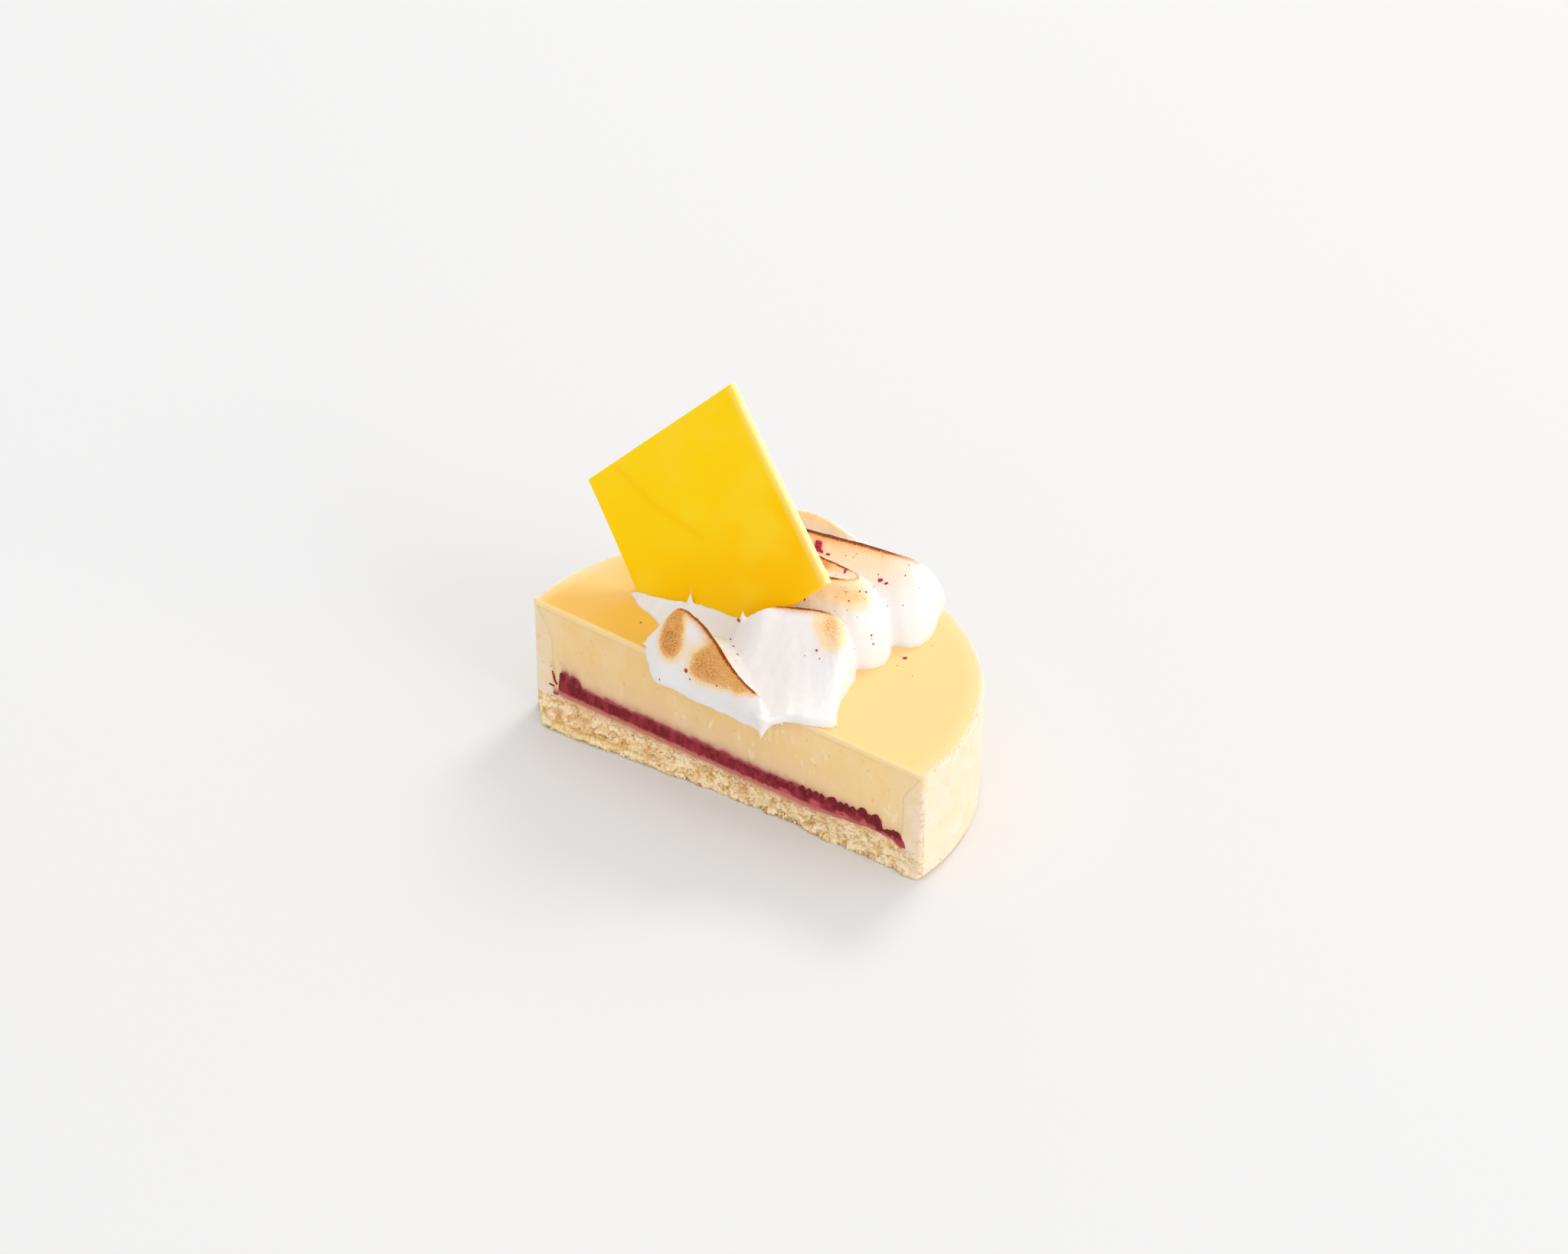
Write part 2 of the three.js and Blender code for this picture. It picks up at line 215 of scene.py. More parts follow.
def stack(*parts):  # coordinates side by side, as points
    return np.stack(np.broadcast_arrays(*parts), -1).astype(float)


def unit(vectors):
    return vectors / np.linalg.norm(vectors, axis=-1, keepdims=True)


def ease(value, low, high):
    t = np.clip((value - low) / (high - low), 0, 1)
    return t * t * (3 - 2 * t)


def fullness(away, radius):  # of a round edge, that far in from where it starts
    return np.sqrt(1 - (1 - np.clip(away / radius, 0, 1)) ** 2)


def closeAtEnds(near, count):  # shares from 0 to 1, with those near the ends given
    return np.concatenate([near, np.linspace(0.03, 0.97, count), 1 - near[::-1]])


def atCut(y, behind, before=0):  # 1 where a point is on the cut, 0 from that many mm behind it
    return ease(-y, -tart["cut"] - behind, -tart["cut"] - before)


def hashed(cells, seed):  # a fixed random number from 0 to 1 for each cell
    mixed = seed * 7919 + 1013
    for axis, prime in enumerate((73856093, 19349663, 83492791)):
        mixed = mixed ^ (cells[..., axis] * prime)
    for _ in range(2):
        mixed = ((mixed ^ (mixed >> 15)) * 73244475) & 0x7fffffff
    return (mixed & 0xffffff) / 0xffffff


def ripple(points, size, seed, octaves=1):  # smooth unevenness from -1 to 1, with features of that size
    total = np.zeros(points.shape[:-1])
    for octave in range(octaves):
        p = points / np.array(size) * 2 ** octave
        cell = np.floor(p).astype(np.int64)
        f = p - cell
        f = f * f * (3 - 2 * f)
        value = 0
        for corner in itertools.product((0, 1), repeat=3):
            weight = np.prod(np.where(corner, f, 1 - f), -1)
            value = value + weight * hashed(cell + np.array(corner), seed + octave)
        total += (2 * value - 1) / 2 ** octave
    return total


def nearestGrains(points, size, seed):  # how many sizes off the two nearest are, and the first's number
    p = points / np.array(size)
    cell = np.floor(p).astype(np.int64)
    first = np.full(points.shape[:-1], 9.0)
    second = first.copy()
    which = np.zeros(points.shape[:-1])
    for corner in itertools.product((-1, 0, 1), repeat=3):
        near = cell + np.array(corner)
        middle = near + 0.5 + 0.8 * (stack(*(hashed(near, seed + k) for k in range(3))) - 0.5)
        gap = np.linalg.norm(p - middle, axis=-1)
        closer = gap < first
        second = np.where(closer, first, np.minimum(second, gap))
        which = np.where(closer, hashed(near, seed + 5), which)
        first = np.where(closer, gap, first)
    return first, second, which


def rail(points, shares):  # a smooth line through the points, at each share of the way along
    p = np.array(points, float)
    p = np.vstack([2 * p[0] - p[1], p, 2 * p[-1] - p[-2]])
    place = shares * (len(points) - 1)
    low = np.minimum(place.astype(int), len(points) - 2)
    t = (place - low)[:, None]
    a, b, c, d = (p[low + k] for k in range(4))
    ab, bc, cd = (np.sqrt(np.linalg.norm(v - u, axis=1, keepdims=True)) for u, v in ((a, b), (b, c), (c, d)))
    start = ((b - a) / ab - (c - a) / (ab + bc) + (c - b) / bc) * bc
    end = ((c - b) / bc - (d - b) / (bc + cd) + (d - c) / cd) * bc
    return ((2 * t ** 3 - 3 * t ** 2 + 1) * b + (t ** 3 - 2 * t ** 2 + t) * start
            + (3 * t ** 2 - 2 * t ** 3) * c + (t ** 3 - t ** 2) * end)


def closed(outline):  # each corner with the next one
    return zip(outline, outline[1:] + outline[:1])


def quads(grid, flip=False):  # faces between neighbours in a grid of point numbers
    corners = (grid[:-1, :-1], grid[1:, :-1], grid[1:, 1:], grid[:-1, 1:])
    order = (0, 3, 2, 1) if flip else (0, 1, 2, 3)
    return np.stack([corners[k].ravel() for k in order], 1).tolist()


def loft(rings):  # rings of points with equal counts, joined in order and closed at both ends
    count, around = rings.shape[:2]
    points = np.vstack([rings.reshape(-1, 3), rings[0].mean(0), rings[-1].mean(0)])
    number = np.arange(count * around).reshape(count, around)
    faces = quads(np.hstack([number, number[:, :1]]), flip=True)
    for i, k in zip(range(around), [*range(1, around), 0]):
        faces.append((len(points) - 2, k, i))
        faces.append((len(points) - 1, number[-1, i], number[-1, k]))
    return points, faces


def meshOf(name, points, faces):
    mesh = bpy.data.meshes.new(name)
    mesh.from_pydata(points.tolist(), [], [[int(v) for v in face] for face in faces])
    return mesh


def pointsOf(mesh, what="co"):  # or, with "normal", the way out of the surface at each
    flat = np.empty(len(mesh.vertices) * 3)
    mesh.vertices.foreach_get(what, flat)
    return flat.reshape(-1, 3)


def movePoints(mesh, points):
    mesh.vertices.foreach_set("co", points.ravel())
    mesh.update()


def finishMesh(b, mesh, split=True):  # faces turned outwards, and flat faces with many corners split
    if split:
        bmesh.ops.triangulate(b, faces=[f for f in b.faces if len(f.verts) > 4])
    bmesh.ops.recalc_face_normals(b, faces=b.faces)
    b.to_mesh(mesh)
    b.free()


def tidied(mesh, split=True):
    b = bmesh.new()
    b.from_mesh(mesh)
    finishMesh(b, mesh, split)
    mesh.update()
    return mesh


def withModifiers(mesh, *modifiers):  # a new mesh, after modifiers given as (type, settings)
    holder = bpy.data.objects.new("holder", mesh)
    scene.collection.objects.link(holder)
    for kind, settings in modifiers:
        modifier = holder.modifiers.new(kind, kind)
        for name, value in settings.items():
            setattr(modifier, name, value)
    bpy.context.view_layer.update()
    made = bpy.data.meshes.new_from_object(holder.evaluated_get(bpy.context.evaluated_depsgraph_get()))
    bpy.data.objects.remove(holder)
    return made


def nearestOf(samples, points):  # number of the nearest sample, and how far it is
    tree = kdtree.KDTree(len(samples))
    for i, sample in enumerate(samples):
        tree.insert(sample, i)
    tree.balance()
    found = [tree.find(p)[1:] for p in points]
    return np.array([f[0] for f in found]), np.array([f[1] for f in found])


def paint(mesh, **layers):  # what a finish reads at each point
    for name, values in layers.items():
        layer = mesh.attributes.new(name, "FLOAT", "POINT")
        layer.data.foreach_set("value", np.asarray(values, np.float32))


def addPiece(name, mesh, finish, replaced=(), crease=180):  # the mesh is in mm until here
    mesh.transform(Matrix.Scale(mm, 4))
    mesh.polygons.foreach_set("use_smooth", [True] * len(mesh.polygons))
    mesh.set_sharp_from_angle(angle=math.radians(crease))
    mesh.materials.clear()
    mesh.materials.append(finish)
    piece = bpy.data.objects.new(name, mesh)
    scene.collection.objects.link(piece)
    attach(piece, "root")
    for node in replaced:
        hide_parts(node)
    print(name, "has", len(mesh.polygons), "faces")
    return piece


# pastry shell

shell = {
    "columns": 460,  # round the outside
    "across": 16,  # through the wall at the cut
    "rows": (2, 24, 18),  # up to 1 mm, to 3 mm and to the base's top
    "spacing": 0.16,  # mm between points of the base's cut face
    "wallSpacing": 0.36,  # mm between rows higher up
    "hidden": 24,  # large faces that close its inside
    "chamfer": 0.8,
    "rimRound": (0.5, 0.47),  # mm, where its top starts to round in, and by how much it rises
    "lipFrom": -47.2,  # the lip that the knife pushed out of the base at its left end
    "lipWidest": -40.6,
    "lipTo": 14,
    "lipReach": 4.6,
    "lipProfile": [  # height, and the share of the reach there
        (0, 0.82), (0.4, 0.93), (1.3, 1), (2.0, 0.72), (2.8, 0.2), (3.6, 0),
    ],
    "pressed": 1.9,  # mm over the table, up to which the lip is pressed smooth
    "heap": (1.6, 20, 36, 39.5, 43.5),  # crumb heaped at the right: how high, then from, full, until and gone
    "foot": 0.55,  # mm, how far its crumbly foot stands out elsewhere
    "corner": (1.3, 0.55),  # mm, how wide and how deep the cut's ends are rounded
    "lumps": (2.0, 1.4, 1.1),  # mm, of the base's crumb
    "smallLumps": (0.75, 0.6, 0.5),
    "holes": (1.9, 1.6, 0.85),
    "crumb": 0.34,  # mm, how rough the base's crumb is
    "cracks": 0.24,  # mm, how deep
    "pits": 0.45,
    "grooves": 0.2,  # where a seam and the lip's fold run along it
    "wallCrumb": 0.12,
    "wallPits": 0.3,
    "outside": 0.05,
    "torn": 0.25,  # the rim is torn this deep near the cut's right corner
    "smear": ((-43.4, 2.2), (5.9, 0.8)),  # pale, at the left end: x and reach, height and reach
}


def innerRadius(z):  # of the wall, at a height
    thinned = ease(z, tart["height"] - tart["wallTop"], tart["height"])
    return tart["ring"] - (tart["wall"] + (tart["rim"] - tart["wall"]) * thinned)


def cutX(radius):  # where a circle of that radius meets the cut
    return np.sqrt(radius ** 2 - tart["cut"] ** 2)


def lipReach(x):
    rise = ease(x, shell["lipFrom"], shell["lipWidest"])
    fall = 1 - ease(x, shell["lipWidest"], shell["lipTo"])
    return shell["lipReach"] * rise * fall * (x < shell["lipTo"])


def heap(x):
    rise, start, full, still, gone = shell["heap"]
    return rise * ease(x, start, full) * (1 - ease(x, still, gone))


def shellRows():  # the heights of its rows, close together where the crumb shows, and how many the base has
    base, top = tart["base"], tart["height"] - shell["rimRound"][0]
    few, more, rest = shell["rows"]
    low = np.concatenate([np.linspace(shell["chamfer"], 1, few), np.linspace(1, 3, more)[1:],
                          np.linspace(3, base, rest)[1:]])
    high = np.arange(base, top, shell["wallSpacing"])[1:]
    return np.concatenate([[0], low, high, [top]]), len(low)


def shellMesh():
    ring, cut, base = tart["ring"], tart["cut"], tart["base"]
    rows, baseRow = shellRows()
    top, n, m = len(rows) - 1, shell["columns"], shell["across"]
    radii = np.full(len(rows), ring)
    radii[0] = ring - shell["chamfer"]
    shares = np.linspace(0, 1, n + 1)
    points = []

    def add(block):  # returns the numbers of the new points, in the block's own shape
        start = sum(len(p) for p in points)
        points.append(block.reshape(-1, 3))
        return start + np.arange(block[..., 0].size).reshape(block.shape[:-1])

    def swept(radius, z, share):  # round from one end of the cut to the other
        radius, z, share = np.broadcast_arrays(radius, z, share)
        most = np.arcsin(-cut / radius)
        angle = -most + (math.pi + 2 * most) * share
        return stack(radius * np.cos(angle), radius * np.sin(angle), z)

    wall = add(swept(radii[None], rows[None], shares[:, None]))  # column, row
    bow = np.linspace(0, 1, m + 1)
    rimZ = rows[top] + shell["rimRound"][1] * fullness(bow, 0.5)
    rim = np.empty((n + 1, m + 1), int)
    rim[:, 0] = wall[:, top]
    rim[:, 1:] = add(swept((ring - tart["rim"] * bow)[None, 1:], rimZ[None, 1:], shares[:, None]))
    faces = quads(wall) + quads(rim)
    ends = []
    inner, outer = cutX(innerRadius(rows)), cutX(radii)
    x = outer[:, None] + (inner - outer)[:, None] * bow[None]
    for column, side in ((0, 1), (n, -1)):
        block = np.empty((top + 1, m + 1), int)
        block[:, 0] = wall[column]
        block[top] = rim[column]
        block[:top, 1:] = add(stack(side * x[:top, 1:], cut, rows[:top, None]))
        faces += quads(block, flip=side < 0)
        ends.append(block)
    right, left = ends
    inside = cutX(innerRadius(base))
    count = int(2 * inside / shell["spacing"])
    face = np.empty((baseRow + 1, count + 1), int)
    face[:, 0] = right[:baseRow + 1, m]
    face[:, -1] = left[:baseRow + 1, m]
    x = np.linspace(inside, -inside, count + 1)[1:-1]
    face[:, 1:-1] = add(stack(x[None], cut, rows[:baseRow + 1, None]))
    faces += quads(face)
    # the hidden inside: a few large faces, which share their edges with the fine ones
    groups = shell["hidden"]
    marks = np.linspace(0, n, groups + 1).astype(int)
    foot = np.empty(groups + 1, int)
    foot[0], foot[-1] = right[baseRow, m], left[baseRow, m]
    foot[1:-1] = add(swept(innerRadius(base), base, shares[marks[1:-1]]))
    for g in range(groups):
        edge = list(rim[marks[g]:marks[g + 1] + 1, m])
        if g == 0:
            edge = list(right[baseRow + 1:top, m]) + edge
        if g == groups - 1:
            edge = edge + list(left[baseRow + 1:top, m])[::-1]
        faces.append([*edge, foot[g + 1], foot[g]])
    faces.append([*foot, *face[baseRow][-2:0:-1]])
    faces.append([*wall[:, 0], *left[0, 1:], *face[0][-2:0:-1], *right[0, :0:-1]])
    return tidied(meshOf("pastryShell", np.vstack(points), faces))


def brokenCrumb(q):  # the base's cut face: how far its lumps stand out, its cracks and its holes
    warp = (0.3 * stack(*(ripple(q, 0.9, k) for k in (21, 22, 23)))
            + 0.15 * stack(*(ripple(q, 0.35, k) for k in (24, 25, 26))))
    lumps, second, which = nearestGrains(q + warp, shell["lumps"], 3)
    small, _, lot = nearestGrains(q + warp, shell["smallLumps"], 4)
    crumb = 0.45 * (0.6 - lumps) + 0.25 * (0.6 - small) + 1.1 * (which - 0.5) + 0.4 * (lot - 0.5)
    crumb = crumb + 0.3 * ripple(q, 0.4, 35, 2)
    crack = (1 - ease(second - lumps, 0.02, 0.2)) * ease(ripple(q, 1.8, 33, 2), 0.1, 0.6)
    holes, _, big = nearestGrains(q + warp, shell["holes"], 31)
    pit = ease(-holes, -0.1 - 0.28 * big, -0.06 - 0.1 * big) * (big > 0.4)
    dash = ease(-np.abs(ripple(q, (1.5, 1.5, 0.5), 51, 2)), -0.09, -0.02)
    return crumb, crack, np.maximum(pit, 0.9 * (dash * ease(ripple(q, (1.6, 1.6, 1), 52), 0, 0.4)))


def pressedLip(q, x, z):  # how smooth the knife pressed it, and the fold above that
    share = np.clip(lipReach(x) / shell["lipReach"], 0, 1)
    level = shell["pressed"]
    pressed = 0.6 * ease(share, 0.25, 0.7) * (1 - ease(z, level - 0.25, level + 0.1))
    fold = np.exp(-((z - level - 0.12 * ripple(q, 2.5, 47, 2)) / 0.2) ** 2) * ease(share, 0.25, 0.6)
    return pressed, fold * ease(ripple(q, 4, 49), -0.7, -0.1)


def makeShell(finish):
    ring, height, base = tart["ring"], tart["height"], tart["base"]
    mesh = shellMesh()
    p = pointsOf(mesh)
    x, y, z = p.T  # these go along with p while it is changed in place
    onCut = atCut(y, 0.6, 0.01)
    brim = base - 1.2 * (1 - ease(x, -45.5, -41.5))
    inBase = onCut * (1 - ease(z, brim - 0.3, brim + 0.5))
    # the lip, the foot, the rounded ends and the crumb heaped up at the right
    line = stack(x, 0, 0)
    reach = lipReach(x) * np.interp(z, *zip(*shell["lipProfile"])) * (1 + 0.1 * ripple(line, 4.1, 45, 2))
    reach += shell["foot"] * (0.7 + 0.9 * ripple(line, 1.9, 46, 3)) * (1 - ease(z, 0.3, 1.8))
    wide, deep = shell["corner"]
    turned = np.clip((np.abs(x) - cutX(ring) + wide) / wide, 0, 1)
    p[:, 1] -= onCut * (reach - deep * (1 - np.sqrt(1 - turned ** 2)))
    p[:, 2] += onCut * heap(x) * ease(z, 2, base) * (z <= base + 0.01)
    q = p.copy()
    # the base's crumb
    crumb, crack, pit = brokenCrumb(q)
    seam = 3.1 + 0.6 * ripple(q, (5, 7, 99), 41)
    groove = np.exp(-((z - seam) / 0.2) ** 2) * ease(ripple(q, (2.4, 3, 3), 43), 0.15, 0.6)
    pressed, fold = pressedLip(q, x, z)
    crack, pit = crack * (1 - pressed), pit * (1 - 0.6 * pressed)
    atCorner = 1 - 0.6 * ease(x, 43, 46)
    out = shell["crumb"] * crumb * (1 - 0.75 * pressed) - shell["cracks"] * crack - shell["pits"] * pit
    out = inBase * atCorner * out - inBase * shell["grooves"] * (groove + fold)
    out = np.where(inBase > 0.5, out - (out + 0.12) * ease(z, base - 0.9, base - 0.1), out)
    # the wall, inside and out
    wallPit = ease(-nearestGrains(q, 1.3, 57)[0], -0.3, -0.1) * ease(ripple(q, 3, 58), 0, 0.5)
    rough = 0.6 * ripple(q, 1.1, 61, 3) + 0.5 * (0.6 - nearestGrains(q, 0.6, 63)[0])
    out += onCut * (1 - inBase) * (shell["wallCrumb"] * rough - shell["wallPits"] * wallPit)
    outer = (1 - onCut) * ease(np.hypot(x, y), ring - 1.5, ring - 0.9)
    torn = shell["torn"] * ease(x, 22, 40) * (1 - ease(y, 0, 16))
    nearRim = ease(z, height - 2.2, height - 0.4)
    uneven = ripple(q, 1.9, 71, 2) + 0.8 * ripple(q, 9, 73)
    out += outer * (shell["outside"] * uneven + nearRim * (0.1 + torn) * rough)
    way = pointsOf(mesh, "normal")
    way[:, 2] += 0.9 * onCut * ease(reach, 0.3, 2) * ease(z, 1.4, 2)
    way /= np.maximum(np.linalg.norm(way, axis=1, keepdims=True), 1e-6)
    p = p + way * out[:, None]
    p[:, 2] = np.maximum(settled(x, p[:, 2]), 0)
    movePoints(mesh, p)
    # what colours it: painted shade in its hollows, the berries' juice and the custard smeared on it by the
    # knife
    hollow = np.maximum.reduce([pit, 0.5 * groove, 0.6 * fold, 0.8 * crack]) * inBase * atCorner
    above = unsettled(x, p[:, 2]) - berries["floor"] - heap(x) + 0.2 + 0.3 * ripple(q, 1.2, 67, 2)
    stain = np.where(above > 0, np.exp(-(above / 0.9) ** 2), np.exp(above / 0.7))
    stain *= 1 - 0.5 * ease(x, 20, 34)
    past = np.abs(x) - cutX(innerRadius(z)) + 0.4 * ripple(q, 2, 65, 2)
    beside = np.exp(-(np.maximum(past, 0) / 1.5) ** 2)
    high = 0.7 * ease(z, 13, 21) * ease(-np.hypot(x, y), -ring + 0.2, -ring + 1.6)
    (smearX, smearLong), (smearZ, smearTall) = shell["smear"]
    # lump makes raised lumps lighter and sunk ones darker, and pit darkens the hollows: painted light and
    # shade over the crumb's own mottling
    paint(mesh, base=inBase * (1 - 0.8 * ease(x, 40.5, 45)),
          pit=np.clip(hollow + 0.35 * wallPit * onCut * (1 - inBase), 0, 1),
          lump=np.clip(0.5 + 0.55 * crumb, 0, 1), lip=pressed * onCut,
          stain=onCut * stain * ease(-np.abs(x), -44.3, -42.3),
          topping=onCut * np.maximum(high, 0.85 * beside * ease(z, 6, 8)),
          smear=np.exp(-((x - smearX) / smearLong) ** 2 - ((z - smearZ) / smearTall) ** 2) * onCut)
    return addPiece("pastryShell", mesh, finish, ["pastry_shell"])


# raspberry layer

berries = {
    "floor": 5.5,
    "top": 9.6,
    "columns": 560,
    "rows": 34,
    "start": -41.3,  # nothing of it shows left of here
    "startRound": 1.2,
    "whole": (-41.2, -35.2, 2.3),  # the berry at the left end: from, to, how much taller
    "tail": [(38.2, 7.9), (40, 8.2), (41.6, 8.2)],  # its height at the right end, behind the tongue
    "tongue": [  # smeared on to the wall at the right end: x, height and half its thickness
        (37.4, 8.2, 0.3), (38.6, 8.1, 0.5), (40.2, 8.1, 0.95), (41.5, 8.0, 1.35), (42.3, 7.3, 1.15),
        (42.9, 6.7, 0.75), (43.5, 6.0, 0.15),
    ],
    "teeth": [  # where each bead stands at the right, the height of its top and its breadth
        (11.4, 9.7, 1.1), (13.1, 9.9, 1.0), (14.9, 9.8, 1.2), (16.7, 10.1, 1.2), (19.2, 10.5, 1.25),
        (21.0, 10.4, 1.1), (22.5, 10.5, 1.05), (24.0, 10.5, 1.05), (26.4, 11.0, 1.5), (28.3, 10.6, 1.1),
        (29.8, 10.8, 1.05), (31.3, 10.8, 1.15), (33.6, 11.5, 1.5), (35.2, 10.6, 1.1), (36.5, 11.2, 1.5),
        (37.4, 9.9, 1.0),
    ],
    "tooth": (0.84, 0.6, 1.3),  # half sizes
    "drupelets": [  # of the whole berry at the left: x, height, half width and half height
        (-39.9, 10.2, 1.25, 1.5), (-37.1, 10.1, 1.3, 1.5), (-38.5, 9.0, 1.2, 1.6), (-36.2, 8.6, 1.1, 1.4),
    ],
    "flakes": [  # that the knife dragged on to the wall at the left: x, height, length, width and lean
        (-42.4, 9.9, 2.0, 0.55, -0.25), (-42.0, 8.5, 1.5, 0.8, -0.45), (-42.9, 7.3, 0.6, 1.5, 0),
    ],
    "flesh": [  # pale cores: x, height and reach
        (15.6, 6.8, 1.9), (22.3, 7.2, 1.9), (28.9, 7.4, 1.9), (33.9, 8.0, 0.8),
    ],
    "scallop": (3.6, 0.22, 33.4),  # the bumps of its top at the left: how wide, how deep, and their phase
    "proud": 0.1,  # mm in front of the cut
    "grains": (2.1, 1, 2.9),  # mm, of the flesh
}


def berryEnd(x):  # how full the layer is at its round left end
    return fullness(x - berries["start"], berries["startRound"])


def berryHeight(x):
    low, high, rise = berries["whole"]
    single = np.clip((x - low) / (high - low), 0, 1)
    humps = np.abs(np.sin(single * math.pi * 2)) ** 0.7
    body = np.sin(single * math.pi) ** 0.35
    wide, deep, start = berries["scallop"]
    bumps = deep * (np.abs(np.sin((x + start) * math.pi / wide)) ** 0.7 - 0.5) * (1 - ease(x, 6, 14))
    height = berries["top"] + bumps + rise * body * (0.62 + 0.38 * humps) + 0.1 * ease(x, 10, 30)
    tail = np.interp(x, *zip(*berries["tail"]))
    height = height + (tail - height) * ease(x, 37.9, 38.3)
    low = berries["floor"] + 0.2
    return low + (height - low) * berryEnd(x)


def berryTop(x):
    return berryHeight(x) + 0.1 * ripple(stack(x, 0, 0), 1.1, 81, 2)


def berryFloor(x):
    uneven = 0.1 * ripple(stack(x, 0, 0), 1.1, 82, 2)
    return berries["floor"] + heap(x) + uneven + 0.9 * (1 - berryEnd(x)) * (x > berries["start"])


def slab(name, columns, rows, bottomAt, topAt, reachAt, backRadius):  # a filling, fine only at the cut
    shares = np.linspace(-1, 1, columns + 1)
    x0 = shares * reachAt(tart["base"])
    bottom, top = bottomAt(x0), topAt(x0)
    z = bottom[:, None] + (top - bottom)[:, None] * np.linspace(0, 1, rows + 1)
    x = shares[:, None] * reachAt(unsettled(x0[:, None], z))
    back = np.sqrt(np.maximum(backRadius ** 2 - x0 ** 2, 0))[:, None]
    flat = np.minimum(top, np.median(top))[:, None]
    rings = [stack(x, tart["cut"], z), stack(x[:, -1:], back, flat), stack(x[:, :1], back, bottom[:, None])]
    return tidied(meshOf(name, *loft(np.concatenate(rings, 1))), split=False)


def makeBerryLayer(finish):
    inside = innerRadius(tart["base"])
    mesh = slab("raspberryLayer", berries["columns"], berries["rows"], berryFloor, berryTop,
                lambda z: cutX(inside) - 0.05 + 0 * z, inside)
    p = pointsOf(mesh)
    x, y, z = p.T
    onCut = atCut(y, 0.1)
    bottom, top = berryFloor(x), berryHeight(x)
    warp = 0.35 * stack(ripple(p, 1.3, 84), 0 * x, ripple(p, 1.3, 86))
    lumps, second, which = nearestGrains((p + warp) * (1, 0, 1) + (0, 0.5, 0), berries["grains"], 83)
    crease = 1 - ease(second - lumps, 0.02, 0.3)
    strands = ripple(p, (0.5, 1, 1.7), 85, 2)
    soft = ripple(p, (1.7, 1, 2.4), 87, 2)
    out = berries["proud"] + 0.12 * (0.45 - lumps) - 0.05 * crease + 0.05 * strands + 0.08 * soft
    edge = ease(top + 0.15 - z, 0, 0.45)
    p[:, 1] -= onCut * (out * edge - 0.2 * (1 - edge)) * (0.3 + 0.7 * ease(z - bottom, 0, 0.7))
    movePoints(mesh, p)
    flesh = 0 * x
    for at, level, reach in berries["flesh"]:
        gap = np.hypot((x - at) / reach, (z - level + 0.1 * (x - at)) / 0.95)
        flesh = np.maximum(flesh, 1 - ease(gap + 0.25 * ripple(p, 1.0, 89, 2), 0.5, 1.15))
    tip = ease(x, 39.5, 41.5)
    rag = 0.25 * ripple(p, 0.7, 91, 2)
    soaked = (1 - ease(z - bottom + 0.8 * rag, 0.5, 1.35)) * (1 - 0.6 * ease(x, 20, 34)) * (1 - tip)
    # the crease term darkens the creases between grains: painted shade
    lump = 0.52 + 0.3 * soft + 0.15 * (which - 0.5) + 0.25 * strands - 0.12 * crease
    paint(mesh, flesh=np.maximum(flesh, 0.55 * tip), lump=np.clip(lump, 0, 1), soaked=soaked,
          edge=1 - ease(np.minimum(0.7 * (z - bottom), top - z) + rag, 0, 0.8))
    return addPiece("raspberryLayer", mesh, finish, ["raspberry_layer"], crease=60)


def pebble(rough, seed, detail=2):  # an uneven lump about 1 across
    b = bmesh.new()
    bmesh.ops.create_icosphere(b, subdivisions=detail, radius=0.5)
    points = np.array([v.co[:] for v in b.verts])
    points *= (1 + rough * ripple(points + seed * 3.7, 0.42, seed, 2))[:, None]
    faces = [[v.index for v in f.verts] for f in b.faces]
    b.free()
    return points, faces


def gathered(name, lumps):  # lumps of points and faces as one mesh
    points, faces, start = [], [], 0
    for p, f in lumps:
        points.append(p)
        faces += [[v + start for v in face] for face in f]
        start += len(p)
    return tidied(meshOf(name, np.vstack(points), faces), split=False)


def makeTongue():
    line = rail(berries["tongue"], np.linspace(0, 1, 40))
    around = np.linspace(0, 2 * math.pi, 33)[:-1]
    slope = unit(np.gradient(line[:, :2], axis=0))
    across, proud = np.cos(around)[None], np.sin(around)[None]
    half = np.maximum(line[:, 2:], 0.06)
    y = tart["cut"] + 0.3 - 0.55 * np.minimum(half * 1.6, 1) * proud
    rings = stack(line[:, :1] - slope[:, 1:] * half * across, y, line[:, 1:2] + slope[:, :1] * half * across)
    uneven = 0.12 + 0.2 * ease(half, 0.2, 1)
    rings[..., 0] += uneven * ripple(rings, 0.7, 95, 2)
    rings[..., 1] -= 0.14 * ripple(rings, 0.9, 96, 2)
    rings[..., 2] += uneven * ripple(rings, 0.7, 97, 2)
    return loft(rings)


